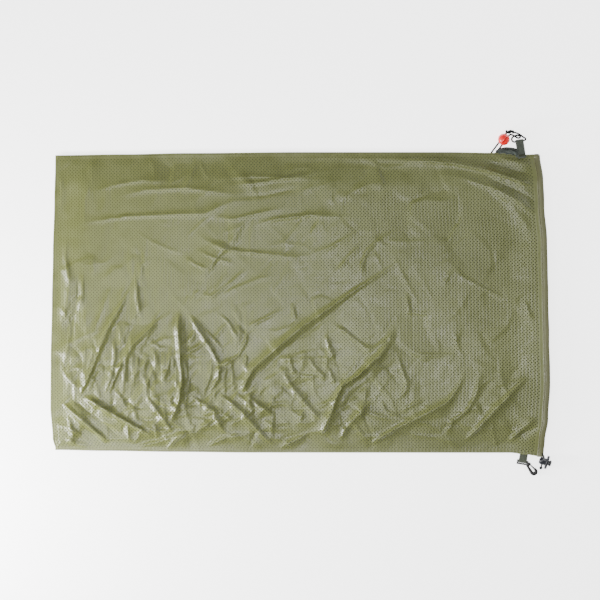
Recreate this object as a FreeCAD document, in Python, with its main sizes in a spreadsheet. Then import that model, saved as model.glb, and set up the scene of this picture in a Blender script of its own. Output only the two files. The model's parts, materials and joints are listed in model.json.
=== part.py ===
import FreeCAD, Part
import math
import os

# Flat-lying drawstring sack of perforated coated cloth, about 1.0 x 0.6 m.
# Frame: +X towards the mouth, +Y across the sack, +Z up from the surface that
# the sack lies on.  Origin: middle of the outline on that surface.  Millimetres.

V = FreeCAD.Vector
os.makedirs("parts", exist_ok=True)
doc = FreeCAD.newDocument("drawstring_sack")

# ------------------------------------------------------------------ sizes
sheet = doc.addObject("Spreadsheet::Sheet", "Sizes")
SIZES = [
    ("sack_len", 1004.0), ("sack_wid", 610.0), ("panel_thk", 1.0),
    ("crown", 9.0), ("crown_run", 60.0), ("seam_wid", 9.0), ("seam_thk", 3.3),
    ("seam_gap", 0.05), ("casing_wid", 13.0), ("casing_thk", 4.2),
    ("casing_wall", 0.5), ("cord_dia", 2.8), ("thread_dia", 0.8),
    ("web_wid", 16.4), ("web_thk", 1.5), ("loop_eye_rad", 2.3),
    ("tab_eye_rad", 1.9), ("bar_dia", 3.4),
    ("ball_dia", 24.0), ("ball_bore", 3.2), ("ball_pitch", 8.0),
    ("ball_chamber", 11.0), ("ball_stem", 10.8), ("ball_cap_gap", 2.6),
    ("hook_thk", 5.6), ("hook_tip_rad", 7.2), ("hook_head_rad", 4.6),
    ("gate_pin_dia", 1.6), ("gate_thk", 3.3),
    ("lock_dia", 15.0), ("lock_len", 15.0), ("lock_flange_len", 27.0),
    ("lock_flange_wid", 15.0), ("lock_flange_thk", 3.4), ("lock_chamber", 9.4),
    ("lock_stem", 9.2), ("lock_cap_dia", 12.0), ("lock_cap_thk", 3.4),
    ("lock_cap_gap", 3.6), ("lock_slot_wid", 3.4), ("lock_slot_high", 7.4),
]
for row, (name, value) in enumerate(SIZES, start=1):
    sheet.set("A%d" % row, name)
    sheet.set("B%d" % row, repr(value))
    sheet.setAlias("B%d" % row, name)
doc.recompute()


def S(name):
    return float(getattr(sheet, name))


NODES = []


def keep(obj, label):
    obj.Label = label
    NODES.append(obj)
    return obj


def feature(label, shape, place=None):
    """A free-form piece: its shape first, then its place."""
    obj = doc.addObject("Part::Feature", label)
    obj.Shape = shape
    if place is not None:
        obj.Placement = place
    return keep(obj, label)


def bind(obj, **links):
    for prop, text in links.items():
        obj.setExpression(prop, text)


# ------------------------------------------------------------------ outline
def lerp_table(table, t):
    if t <= table[0][0]:
        return table[0][1]
    for (a, fa), (b, fb) in zip(table, table[1:]):
        if t <= b:
            k = (t - a) / (b - a)
            k = k * k * (3 - 2 * k)
            return fa + (fb - fa) * k
    return table[-1][1]


# offsets of the four edges from a plain rectangle, as the cloth really lies
LEFT = [(-301, 2.5), (-280, -3.0), (-215, -7.5), (-120, -7.0), (0, -4.5),
        (100, -2.5), (210, 0.5), (290, 2.5)]
RIGHT = [(-314, -5.0), (-280, -2.5), (-235, 4.0), (-160, 8.0), (-75, 6.0),
         (20, 4.0), (120, 2.0), (200, -4.0), (250, -6.0), (303, -12.5)]
TOP = [(-500, -4.5), (-360, -2.5), (-230, 0.0), (0, 2.0), (300, 2.0),
       (400, 0.5), (458, -3.0), (492, -2.0)]
BOTTOM = [(-500, 4.0), (-400, 2.0), (-260, 0.0), (-100, -1.5), (430, -1.8),
          (462, -5.5), (494, -12.0)]
HALF_L = S("sack_len") / 2.0
HALF_W = S("sack_wid") / 2.0


def left_x(y):
    return -HALF_L + lerp_table(LEFT, y)


def right_x(y):
    return HALF_L + lerp_table(RIGHT, y)


def top_y(x):
    return HALF_W + lerp_table(TOP, x)


def bottom_y(x):
    return -HALF_W + lerp_table(BOTTOM, x)


def rise(d):
    run = S("crown_run")
    return 0.5 * (1 - math.cos(math.pi * min(max(d, 0.0) / run, 1.0)))


Z_SEAM = S("panel_thk") + S("seam_thk") + 2 * S("seam_gap")


def front_under(x, y):
    """Height of the front panel's underside."""
    d = min(x - left_x(y), 400.0)
    e = min(top_y(x) - y, y - bottom_y(x))
    return Z_SEAM + S("crown") * rise(d) * rise(e)


NEAR = [0, 11, 22, 33, 44, 54, 64, 76, 95]
U_AT = NEAR + [140, 210, 290, 370, 450, 530, 610, 690, 770, 840, 900, 945, 975, 991]
V_AT = NEAR + [150, 225, 305]


def grid_surface(x_end, height):
    us = [d / 991.0 for d in U_AT]
    vs = [d / 610.0 for d in V_AT]
    vs = vs + [1.0 - v for v in reversed(vs[:-1])]
    rows = []
    for u in us:
        row = []
        for v in vs:
            y0 = -HALF_W + v * 2 * HALF_W
            xa, xb = left_x(y0), right_x(y0) - x_end
            x = xa + (xb - xa) * u
            ya, yb = bottom_y(x), top_y(x)
            y = ya + (yb - ya) * v
            row.append(V(x, y, height(x, y)))
        rows.append(row)
    surf = Part.BSplineSurface()
    surf.interpolate(rows)
    return surf


# ------------------------------------------------------------------ tubes
def cord_path(points, name):
    """Straight runs joined by tangent arcs."""
    pts = [V(*p) for p in points]
    edges, last, radii = [], pts[0], []
    for a, b, c in zip(pts, pts[1:], pts[2:]):
        u, w = (b - a), (c - b)
        run = min(u.Length, w.Length)
        u, w = V(u).normalize(), V(w).normalize()
        turn = math.acos(max(-1.0, min(1.0, u.dot(w))))
        if turn < 1e-4:
            continue
        cut = 0.45 * run
        radius = cut / math.tan(turn / 2)
        radii.append(radius)
        p, q = b - u * cut, b + w * cut
        inward = (w - u).normalize()
        mid = b + inward * (radius / math.cos(turn / 2) - radius)
        edges.append(Part.LineSegment(last, p).toShape())
        edges.append(Part.Arc(p, mid, q).toShape())
        last = q
    edges.append(Part.LineSegment(last, pts[-1]).toShape())
    print("%s radii mm: %s" % (name, " ".join("%.1f" % r for r in radii)))
    return Part.Wire(edges)


def tube(points, dia, name):
    path = cord_path(points, name)
    start = V(*points[0])
    along = (V(*points[1]) - start).normalize()
    ring = Part.Wire([Part.makeCircle(dia / 2.0, start, along)])
    solid = path.makePipeShell([ring], True, False)
    solid = Part.Solid(solid) if solid.ShapeType == "Shell" else solid
    want = math.pi * dia * dia / 4 * path.Length
    print("%s tube: length %.1f volume/section %.4f"
          % (name, path.Length, solid.Volume / want))
    return solid


def flat_strip(outer, inner, z0, thick):
    """A strip between two XY polylines of the same length, with a flat top."""
    pts = [V(x, y, z0) for x, y in outer] + [V(x, y, z0) for x, y in reversed(inner)]
    face = Part.Face(Part.makePolygon(pts + [pts[0]]))
    return face.extrude(V(0, 0, thick))


def steps(a, b, n):
    return [a + (b - a) * i / float(n) for i in range(n + 1)]


# ------------------------------------------------------------------ panels
CAS = S("casing_wid")
back = grid_surface(CAS + 0.05, lambda x, y: 0.0)
rim = []
for e in back.toShape().OuterWire.OrderedEdges:
    run = e.discretize(Number=70)
    if rim and (run[0] - rim[-1]).Length > (run[-1] - rim[-1]).Length:
        run = run[::-1]
    elif not rim and e.Orientation == "Reversed":
        run = run[::-1]
    rim += [V(p.x, p.y, 0) for p in run if not rim or (p - rim[-1]).Length > 0.01]
rim = [rim[0]] + [q for p, q in zip(rim, rim[1:]) if (q - p).Length > 0.01]
if (rim[0] - rim[-1]).Length < 0.01:
    rim.pop()
back_outline = Part.Face(Part.makePolygon(rim + [rim[0]]))
feature("back_panel", back_outline.extrude(V(0, 0, S("panel_thk"))))
front = grid_surface(CAS + 0.05, front_under)
feature("front_panel", front.toShape().extrude(V(0, 0, S("panel_thk"))))

# rolled seam allowances between the two panels, along the closed edges
SW = S("seam_wid")
z_s = S("panel_thk") + S("seam_gap")
xs = steps(-HALF_L + 13.0, HALF_L - 33.0, 24)
feature("upper_side_seam", flat_strip(
    [(x, top_y(x) - 0.6) for x in xs], [(x, top_y(x) - SW) for x in xs], z_s, S("seam_thk")))
feature("lower_side_seam", flat_strip(
    [(x, bottom_y(x) + 0.6) for x in xs], [(x, bottom_y(x) + SW) for x in xs], z_s, S("seam_thk")))
ys = steps(-HALF_W + 8.0, HALF_W - 9.0, 16)
feature("base_seam", flat_strip(
    [(left_x(y) + 0.6, y) for y in ys], [(left_x(y) + SW + 0.4, y) for y in ys], z_s, S("seam_thk")))

# ------------------------------------------------------------------ mouth casings
CT, CW = S("casing_thk"), S("casing_wall")
Y_LO, Y_HI = -312.0, 301.5


def casing_z(y):
    """Centre height of the front casing."""
    e = min(Y_HI - y, y - Y_LO)
    return Z_SEAM + S("crown") * rise(e) + CT / 2.0 + 0.05


def stadium(cx, y, cz, wide, high):
    r = high / 2.0 - 1e-3
    a = wide / 2.0 - r
    p = [V(cx - a, y, cz - r), V(cx + a, y, cz - r), V(cx + a, y, cz + r), V(cx - a, y, cz + r)]
    return Part.Wire([
        Part.LineSegment(p[0], p[1]).toShape(),
        Part.Arc(p[1], V(cx + a + r, y, cz), p[2]).toShape(),
        Part.LineSegment(p[2], p[3]).toShape(),
        Part.Arc(p[3], V(cx - a - r, y, cz), p[0]).toShape()])


CAS_Y = [Y_LO, -300, -285, -268, -252, -230, -180, -120, -60, 0, 60, 120, 180, 220, 242,
         258, 274, 289, Y_HI]


def casing(zfun):
    outer, inner = [], []
    for y in CAS_Y:
        cx = right_x(y) - CAS / 2.0
        outer.append(stadium(cx, y, zfun(y), CAS, CT))
        inner.append(stadium(cx, y, zfun(y), CAS - 2 * CW, CT - 2 * CW))
    return Part.makeLoft(outer, True, False).cut(Part.makeLoft(inner, True, False))


feature("front_casing", casing(casing_z))
feature("back_casing", casing(lambda y: CT / 2.0))

# ------------------------------------------------------------------ thread rows
TD = S("thread_dia")
th = TD / 2.0
feature("front_casing_thread", tube(
    [(right_x(y) - CAS - 0.8, y, front_under(right_x(y) - CAS - 0.8, y) + S("panel_thk") + 0.3)
     for y in (-304, -288, -270, -252, -228, -170, -90, 0, 90, 170, 222, 246, 264, 281, 296)],
    TD, "front_casing_thread"))
feature("back_casing_thread", tube(
    [(right_x(y) - CAS - 0.8, y, S("panel_thk") + 0.3)
     for y in (-304, -240, -160, -70, 30, 120, 200, 296)], TD, "back_casing_thread"))
feature("upper_seam_thread", tube(
    [(x, top_y(x) - 3.6, Z_SEAM + S("panel_thk") + 0.35 + 0.1 * (i % 2))
     for i, x in enumerate(steps(-492, 478, 9))], TD, "upper_seam_thread"))
feature("lower_seam_thread", tube(
    [(x, bottom_y(x) + 3.6, Z_SEAM + S("panel_thk") + 0.35 + 0.1 * (i % 2))
     for i, x in enumerate(steps(-492, 478, 9))], TD, "lower_seam_thread"))
feature("base_seam_thread", tube(
    [(left_x(y) + 3.6, y, Z_SEAM + S("panel_thk") + 0.35 + 0.1 * (i % 2))
     for i, y in enumerate(steps(-292, 288, 6))], TD, "base_seam_thread"))

# ------------------------------------------------------------------ upper webbing loop
WW, WT = S("web_wid"), S("web_thk")


def in_frame(o, xd, yd, zd=V(0, 0, 1)):
    """Placement whose local x, y, z axes are xd, yd, zd at o."""
    m = FreeCAD.Matrix(xd.x, yd.x, zd.x, o.x, xd.y, yd.y, zd.y, o.y, xd.z, yd.z, zd.z, o.z, 0, 0, 0, 1)
    return FreeCAD.Placement(m)


def body_in(label):
    return doc.addObject("PartDesign::Body", label)


def plane_of(body, role):
    return [f for f in body.Origin.OriginFeatures if f.Role == role][0]


def sketch_on(body, role, name):
    sk = body.newObject("Sketcher::SketchObject", name)
    sk.AttachmentSupport = [(plane_of(body, role), "")]
    sk.MapMode = "FlatFace"
    return sk


def poly_sketch(sk, pts):
    """Closed outline; a three-number entry is the middle of an arc."""
    geo, n, i = [], len(pts), 0
    while i < n:
        a, b = pts[i], pts[(i + 1) % n]
        if len(b) == 3:
            c = pts[(i + 2) % n]
            arc = Part.Arc(V(a[0], a[1], 0), V(b[0], b[1], 0), V(c[0], c[1], 0))
            geo.append(arc)
            i += 2
        else:
            geo.append(Part.LineSegment(V(a[0], a[1], 0), V(b[0], b[1], 0)))
            i += 1
    sk.addGeometry(geo, False)


def tangent_band(c0, r0, c1, r1):
    """Outline round two circles: c0 first, then c1, as poly_sketch points."""
    dx, dy = c1[0] - c0[0], c1[1] - c0[1]
    d = math.hypot(dx, dy)
    base = math.atan2(dy, dx)
    off = math.acos((r0 - r1) / d)
    a1, a2 = base + off, base - off
    at = lambda c, r, t: (c[0] + r * math.cos(t), c[1] + r * math.sin(t))
    far1 = at(c1, r1, base)
    far0 = at(c0, r0, base + math.pi)
    return [at(c1, r1, a2), far1 + (1,), at(c1, r1, a1), at(c0, r0, a1), far0 + (1,), at(c0, r0, a2)]


def web_loop(label, eye_y, eye_z, eye_r, base_y, base_z, slot_y, slot_z):
    """Folded webbing seen from its side: a closed band with a teardrop eye."""
    body = body_in(label)
    ro = eye_r + WT
    legs = 2 * WT
    sk = sketch_on(body, "YZ_Plane", label + "_side")
    # local sketch x = body Y (out along the loop), sketch y = body Z
    lean = math.atan2(base_z + legs / 2 - eye_z, eye_y - slot_y)
    top = (eye_y - ro * math.sin(-lean), eye_z + ro * math.cos(lean))
    top = (eye_y + ro * math.sin(lean), eye_z + ro * math.cos(lean))
    bot = (eye_y - ro * math.sin(lean) * 0.6, eye_z - ro * math.sqrt(1 - (math.sin(lean) * 0.6) ** 2))
    poly_sketch(sk, [
        (base_y, base_z), (slot_y - 4.0, base_z), bot,
        (eye_y + ro, eye_z, 1), top, (slot_y - 4.0, base_z + legs), (base_y, base_z + legs)])
    pad = body.newObject("PartDesign::Pad", label + "_pad")
    pad.Profile = sk
    pad.Midplane = True
    pad.setExpression("Length", "Sizes.web_wid")
    doc.recompute()
    cut = sketch_on(body, "YZ_Plane", label + "_eye")
    poly_sketch(cut, tangent_band((slot_y, slot_z), 0.35, (eye_y, eye_z), eye_r))
    pocket = body.newObject("PartDesign::Pocket", label + "_slot")
    pocket.Profile = cut
    pocket.Type = "ThroughAll"
    pocket.Midplane = True
    doc.recompute()
    if not pocket.Shape.Volume < pad.Shape.Volume - 10:
        raise RuntimeError(label + ": the eye cut nothing")
    return keep(body, label)


STRAP_O = V(453.0, 294.8, 0)
strap_y = V(-0.148, 0.989, 0).normalize()
strap_x = V(strap_y.y, -strap_y.x, 0)
EYE_Y, EYE_Z = 34.8, 5.2
loop = web_loop("upper_webbing_loop", EYE_Y, EYE_Z, S("loop_eye_rad"),
                -0.5, Z_SEAM + S("panel_thk") + 1.25, 24.0, 7.6)
loop.Placement = in_frame(STRAP_O, strap_x, strap_y)

# box-stitch that holds the strap on the front panel
bar = doc.addObject("Part::Box", "upper_loop_bartack")
bar.Placement = in_frame(STRAP_O - strap_x * (WW / 2.0 - 2.0) + strap_y * 2.2
                         + V(0, 0, Z_SEAM + S("panel_thk") + 1.25 + 2 * WT - 0.2), strap_x, strap_y)
bind(bar, Length="Sizes.web_wid - 4", Width="6", Height="0.6")
keep(bar, "upper_loop_bartack")

# crumpled webbing that lies behind the top edge, between the cord and the loop
hump = [(404.6, 308.0), (408.4, 311.6), (413.5, 315.2), (420.0, 317.4), (428.0, 319.6),
        (434.0, 316.8), (440.6, 314.8), (443.2, 308.0)]
pts = [V(x, y, 0.3) for x, y in hump]
crumple = Part.Face(Part.makePolygon(pts + [pts[0]])).extrude(V(0, 0, 5.9))
feature("gathered_webbing", crumple)

# ------------------------------------------------------------------ ball cord lock
BALL = V(415.3, 332.4, 13.2)
TILT = math.radians(11.6)
HEAD = math.radians(53.5)
cord_d = V(math.cos(TILT) * math.cos(HEAD), math.cos(TILT) * math.sin(HEAD), math.sin(TILT))
side_d = V(-math.sin(HEAD), math.cos(HEAD), 0)          # from cord B to cord A
up_d = cord_d.cross(side_d)
up_d = V(-up_d.x, -up_d.y, -up_d.z) if up_d.z < 0 else up_d
BORE = BALL - V(0, 0, 2.8)
# local frame of the lock: x along the cords, y across them, z out of the cap
if cord_d.cross(side_d).dot(up_d) < 0:
    side_l = side_d * -1.0
else:
    side_l = side_d
ball_place = in_frame(BALL, cord_d, side_l, cord_d.cross(side_l))
ball_local = ball_place.inverse()
bore_l = ball_local.multVec(BORE)


def prim(kind, name, place=None, **links):
    obj = doc.addObject("Part::" + kind, name)
    if place is not None:
        obj.Placement = place
    bind(obj, **links)
    return obj


def boolean(kind, name, base, tool):
    obj = doc.addObject("Part::" + kind, name)
    obj.Base = base
    obj.Tool = tool
    return obj


RX = FreeCAD.Rotation(V(0, 1, 0), 90)     # a cylinder's axis turned onto +x
down_d = up_d * -1.0
cap_w = side_d * -math.cos(math.radians(12.7)) + down_d * math.sin(math.radians(12.7))
cap_axis = ball_local.Rotation.multVec(cap_w).normalize()
cap_rot = FreeCAD.Rotation(V(0, 0, 1), cap_axis)
HALF_GAP = 0.9
CAP_TRAVEL = 1.5


def half_space(name, at, depth):
    box = prim("Box", name, None, Length="40", Width="40", Height="30")
    box.Placement = FreeCAD.Placement(cap_axis * at, cap_rot).multiply(
        FreeCAD.Placement(V(-20, -20, depth), FreeCAD.Rotation()))
    return box


sphere = prim("Sphere", "ball_sphere", None, Radius="Sizes.ball_dia / 2")
bores = []
for k, q in (("a", 1.0), ("b", -1.0)):
    c = prim("Cylinder", "ball_bore_" + k,
             FreeCAD.Placement(V(-20, q * S("ball_pitch") / 2.0, bore_l.z), RX),
             Radius="Sizes.ball_bore / 2", Height="40")
    bores.append(c)
both = boolean("Fuse", "ball_bores", bores[0], bores[1])
drilled = boolean("Cut", "ball_drilled", sphere, both)
chamber = prim("Cylinder", "ball_chamber_space",
               FreeCAD.Placement(cap_axis * -9.6, cap_rot),
               Radius="Sizes.ball_chamber / 2", Height="24")
space = boolean("Fuse", "ball_space", half_space("ball_half_space", -HALF_GAP, 0), chamber)
shell = boolean("Cut", "ball_shell_cut", drilled, space)

# moving half with its stem
cap_sphere = prim("Sphere", "cap_sphere", None, Radius="Sizes.ball_dia / 2")
cap_dome = boolean("Common", "cap_dome", cap_sphere, half_space("cap_half_space", HALF_GAP, 0))
stem = prim("Cylinder", "cap_stem", FreeCAD.Placement(cap_axis * -6.6, cap_rot),
            Radius="Sizes.ball_stem / 2", Height="12")
cap_solid = boolean("Fuse", "cap_solid", cap_dome, stem)
slots = []
for k, q in (("a", 1.0), ("b", -1.0)):
    # a bore stretched along the cap's travel, so that the cords pass at every position
    ends = []
    for j, travel in enumerate((0.0, CAP_TRAVEL / 2, CAP_TRAVEL)):
        p = V(-20, q * S("ball_pitch") / 2.0, bore_l.z) + cap_axis * travel
        ends.append(prim("Cylinder", "cap_bore_%s%d" % (k, j), FreeCAD.Placement(p, RX),
                         Radius="Sizes.ball_bore / 2", Height="40"))
    slots.append(boolean("Fuse", "cap_slot_%s1" % k,
                         boolean("Fuse", "cap_slot_%s0" % k, ends[0], ends[1]), ends[2]))
cap = boolean("Cut", "ball_cap_cut", cap_solid, boolean("Fuse", "cap_slots", slots[0], slots[1]))
doc.recompute()
for obj, label in ((shell, "ball_lock_shell"), (cap, "ball_lock_cap")):
    obj.Placement = ball_place
    keep(obj, label)
print("cap axis", cap_w, "cord direction", cord_d)


def coil(radius, wire, turns, height):
    helix = Part.makeHelix(height / turns, height, radius)
    ring = Part.Wire([Part.makeCircle(wire / 2.0, V(radius, 0, 0), V(0, 1, 0))])
    return Part.Wire(helix.Edges).makePipeShell([ring], True, True)


feature("ball_lock_spring", coil(3.4, 0.6, 2.0, 1.7),
        ball_place.multiply(FreeCAD.Placement(cap_axis * -9.0, cap_rot)))

# ------------------------------------------------------------------ tether cord
CD = S("cord_dia")


def on_line(which, t):
    off = side_d * (S("ball_pitch") / 2.0 * which)
    p = BORE + off + cord_d * t
    return (p.x, p.y, p.z)


def loop_pt(w, y, z):
    p = STRAP_O + strap_x * w + strap_y * y
    return (p.x, p.y, z)


TETHER = [
    on_line(1, -37.0), on_line(1, -12.0), on_line(1, 15.2),
    (427.6, 348.4, 11.6), (435.4, 347.6, 9.8), (442.8, 345.4, 9.3), (449.4, 342.2, 9.0),
    (454.6, 337.8, 8.0), (460.8, 335.0, 6.2), loop_pt(12.6, EYE_Y + 0.4, EYE_Z),
    loop_pt(5.6, EYE_Y, EYE_Z), loop_pt(-5.0, EYE_Y, EYE_Z), loop_pt(-12.0, EYE_Y - 0.4, EYE_Z - 0.3),
    (431.6, 331.6, 4.2), (433.2, 337.2, 3.6), (438.6, 340.6, 3.2), (444.8, 341.6, 4.2),
    (450.0, 339.4, 3.0), (449.6, 336.6, 1.9), (444.8, 335.6, 1.9), (439.4, 338.6, 6.6), (434.2, 341.6, 7.2),
    on_line(-1, 16.4), on_line(-1, 9.0), on_line(-1, -14.0), on_line(-1, -24.0), (398.6, 303.6, 2.8),
]
feature("tether_cord", tube(TETHER, CD, "tether_cord"))

# knot that gathers the cord above the ball
knot = prim("Ellipsoid", "tether_knot", None)
knot.Radius1 = 3.6
knot.Radius2 = 8.6
knot.Radius3 = 3.9
knot.Angle1, knot.Angle2, knot.Angle3 = -90, 90, 360
kx = V(1.0, -0.06, -0.16).normalize()
ky = V(0, 0, 1).cross(kx).normalize()
knot.Placement = in_frame(V(428.4, 348.0, 11.2), kx, ky, kx.cross(ky))
doc.recompute()
keep(knot, "tether_knot")

# ------------------------------------------------------------------ lower webbing tab and snap hook
TAB_O = V(457.6, -307.0, 0)
tab_y = V(-0.172, -0.985, 0).normalize()
tab_x = V(-tab_y.y, tab_y.x, 0)
TAB_X = tab_x * 1.0
# body frame: x = y cross z keeps it right-handed
tab_xr = V(tab_y.y, -tab_y.x, 0)
TEYE_Y, TEYE_Z = 17.4, 3.9
tab = web_loop("lower_webbing_tab", TEYE_Y, TEYE_Z, S("tab_eye_rad"), -6.0, 1.3, 9.0, 2.9)
tab.Placement = in_frame(TAB_O, tab_xr, tab_y)
tack = doc.addObject("Part::Box", "lower_tab_bartack")
tack.Placement = in_frame(TAB_O - tab_xr * (WW / 2.0 - 2.0) + tab_y * 2.6 + V(0, 0, 1.3 + 2 * WT - 0.2), tab_xr, tab_y)
bind(tack, Length="Sizes.web_wid - 4", Width="1.6", Height="0.5")
keep(tack, "lower_tab_bartack")

# hook: local x along the bar (towards the mouth), local y away from the sack
hx = V(-tab_y.y, tab_y.x, 0)
hy = V(tab_y)
# hx cross hy points down, so the hook's own z axis points down as well
HOOK_O = TAB_O + tab_y * TEYE_Y + V(0, 0, TEYE_Z)
hook_place = in_frame(HOOK_O, hx, hy, hx.cross(hy))
hook_inv = hook_place.inverse()


def to_hook(x, y):
    p = hook_inv.multVec(V(x, y, TEYE_Z))
    return (p.x, p.y)


HEAD_C = to_hook(466.6, -331.4)
TIP_C = to_hook(477.2, -345.3)
hb = body_in("snap_hook_body")
sk = sketch_on(hb, "XY_Plane", "hook_outline")
poly_sketch(sk, tangent_band(HEAD_C, S("hook_head_rad"), TIP_C, S("hook_tip_rad")))
pad = hb.newObject("PartDesign::Pad", "hook_pad")
pad.Profile = sk
pad.Midplane = True
pad.setExpression("Length", "Sizes.hook_thk")
doc.recompute()
# eye frame round the webbing: inner bar and two side bars
eye_in = S("web_wid") / 2.0 + 0.5
sk = sketch_on(hb, "XY_Plane", "eye_frame")
for x0, y0, x1, y1 in ((-eye_in - 2.4, -1.7, -eye_in, 6.4), (-eye_in - 2.4, 4.2, eye_in + 2.8, 6.6),
                       (eye_in, -1.7, eye_in + 2.8, 6.4)):
    pass
poly_sketch(sk, [(-eye_in - 2.4, -1.7), (-eye_in, -1.7), (-eye_in, 4.1), (eye_in, 4.1), (eye_in, -1.7),
                 (eye_in + 2.8, -1.7), (eye_in + 2.8, 6.6), (-eye_in - 2.4, 6.6)])
frame = hb.newObject("PartDesign::Pad", "eye_pad")
frame.Profile = sk
frame.Midplane = True
frame.Length = 3.4
doc.recompute()
# the bar inside the fold of the webbing
sk = sketch_on(hb, "YZ_Plane", "eye_bar")
sk.addGeometry(Part.Circle(V(0, 0, 0), V(0, 0, 1), S("bar_dia") / 2.0), False)
barp = hb.newObject("PartDesign::Pad", "bar_pad")
barp.Profile = sk
barp.Midplane = True
barp.Length = 2 * (eye_in + 1.2)
doc.recompute()
# the hole, open on the gate's side
ax = V(TIP_C[0] - HEAD_C[0], TIP_C[1] - HEAD_C[1], 0)
LEN_H = ax.Length
ax = ax.normalize()
qx = V(ax.y, -ax.x, 0)          # towards the gate
if qx.x < 0:
    qx = qx * -1.0


def hp(s, q):
    p = V(HEAD_C[0], HEAD_C[1], 0) + ax * s + qx * q
    return (p.x, p.y)


sk = sketch_on(hb, "XY_Plane", "hook_hole")
poly_sketch(sk, tangent_band(hp(3.4, -0.1), 1.5, hp(LEN_H - 1.4, 0.6), 2.7))
hole = hb.newObject("PartDesign::Pocket", "hole_cut")
hole.Profile = sk
hole.Type = "ThroughAll"
hole.Midplane = True
doc.recompute()
sk = sketch_on(hb, "XY_Plane", "gate_gap")
poly_sketch(sk, [hp(1.0, 0.9), hp(12.4, 2.0), hp(13.9, 2.4), hp(13.9, 12.0), hp(1.0, 10.0)])
gap = hb.newObject("PartDesign::Pocket", "gate_gap_cut")
gap.Profile = sk
gap.Type = "ThroughAll"
gap.Midplane = True
doc.recompute()
if not gap.Shape.Volume < hole.Shape.Volume - 5:
    raise RuntimeError("the gate gap cut nothing")
hb.Placement = hook_place
keep(hb, "snap_hook_body")

# gate: a thin flexing arm from the head to the nose
PIV = hp(2.6, 2.9)
gb = body_in("snap_hook_gate")
sk = sketch_on(gb, "XY_Plane", "gate_outline")
poly_sketch(sk, [hp(2.6, 1.65), hp(3.4, 1.85), hp(12.0, 2.75), hp(13.2, 3.1), hp(12.9, 6.2), hp(11.6, 5.9), hp(2.6, 4.15)])
gpad = gb.newObject("PartDesign::Pad", "gate_pad")
gpad.Profile = sk
gpad.Midplane = True
gpad.Length = 4.6
doc.recompute()
# the round root that it swings on
sk = sketch_on(gb, "XY_Plane", "gate_root")
sk.addGeometry(Part.Circle(V(PIV[0], PIV[1], 0), V(0, 0, 1), 1.3), False)
groot = gb.newObject("PartDesign::Pad", "gate_root_pad")
groot.Profile = sk
groot.Midplane = True
groot.Length = 5.0
doc.recompute()
gb.Placement = hook_place
keep(gb, "snap_hook_gate")
print("hook head", HEAD_C, "tip", TIP_C, "len", LEN_H)
gp = hook_place.multVec(V(PIV[0], PIV[1], 0))
print("gate pivot", gp, "hook origin", HOOK_O, "bar axis", hx)

# ------------------------------------------------------------------ drawcord lock at the mouth's corner
LOCK = V(501.8, -325.6, 8.6)
e1 = V(0.951, -0.309, 0).normalize()      # towards the button
e2 = V(-e1.y, e1.x, 0)                    # along the cord hole
lock_place = in_frame(LOCK, e1, e2)
SLOT_AT = -6.6

lb = body_in("drawcord_lock_barrel")
sk = sketch_on(lb, "XZ_Plane", "barrel_half")
r = S("lock_dia") / 2.0
# turned barrel, waisted towards its closed end
poly_sketch(sk, [(-13.4, 0.0), (-13.4, r - 2.6), (-12.0, r - 1.2), (-9.2, r - 0.4), (-0.6, r - 0.9), (3.4, r - 0.9), (3.4, 0.0)])
rev = lb.newObject("PartDesign::Revolution", "barrel_turn")
rev.Profile = sk
rev.ReferenceAxis = (sk, ["H_Axis"])
rev.Angle = 360.0
doc.recompute()
# oval thumb flange
sk = sketch_on(lb, "YZ_Plane", "flange_oval")
fl = S("lock_flange_len") / 2.0 - S("lock_flange_wid") / 2.0
fr = S("lock_flange_wid") / 2.0
poly_sketch(sk, [(-fl, -fr), (fl, -fr), (fl + fr, 0, 1), (fl, fr), (-fl, fr), (-fl - fr, 0, 1)])
flange = lb.newObject("PartDesign::Pad", "flange_pad")
flange.Profile = sk
flange.setExpression("Length", "Sizes.lock_flange_thk")
doc.recompute()
sk = sketch_on(lb, "YZ_Plane", "chamber_circle")
sk.addGeometry(Part.Circle(V(0, 0, 0), V(0, 0, 1), S("lock_chamber") / 2.0), False)
cham = lb.newObject("PartDesign::Pocket", "chamber_cut")
cham.Profile = sk
cham.Type = "Length"
cham.Length = 30.0
doc.recompute()
if not cham.Shape.Volume < flange.Shape.Volume - 50:
    cham.Reversed = True
    doc.recompute()
if not cham.Shape.Volume < flange.Shape.Volume - 50:
    raise RuntimeError("the lock's chamber cut nothing")
cham2 = lb.newObject("PartDesign::Pocket", "chamber_back")
sk2 = sketch_on(lb, "YZ_Plane", "chamber_back_circle")
sk2.addGeometry(Part.Circle(V(0, 0, 0), V(0, 0, 1), S("lock_chamber") / 2.0), False)
cham2.Profile = sk2
cham2.Type = "Length"
cham2.Length = 11.8
cham2.Reversed = not cham.Reversed
doc.recompute()
if not cham2.Shape.Volume < cham.Shape.Volume - 50:
    raise RuntimeError("the lock's chamber is too short")
sk = sketch_on(lb, "XZ_Plane", "cord_slot")
sw = S("lock_slot_wid") / 2.0
sh = S("lock_slot_high") / 2.0 - sw
poly_sketch(sk, [(SLOT_AT + sw, -sh), (SLOT_AT + sw, sh), (SLOT_AT, sh + sw, 1), (SLOT_AT - sw, sh), (SLOT_AT - sw, -sh), (SLOT_AT, -sh - sw, 1)])
slot = lb.newObject("PartDesign::Pocket", "cord_slot_cut")
slot.Profile = sk
slot.Type = "ThroughAll"
slot.Midplane = True
doc.recompute()
if not slot.Shape.Volume < cham2.Shape.Volume - 20:
    raise RuntimeError("the lock's cord slot cut nothing")
lb.Placement = lock_place
keep(lb, "drawcord_lock_barrel")

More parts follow.
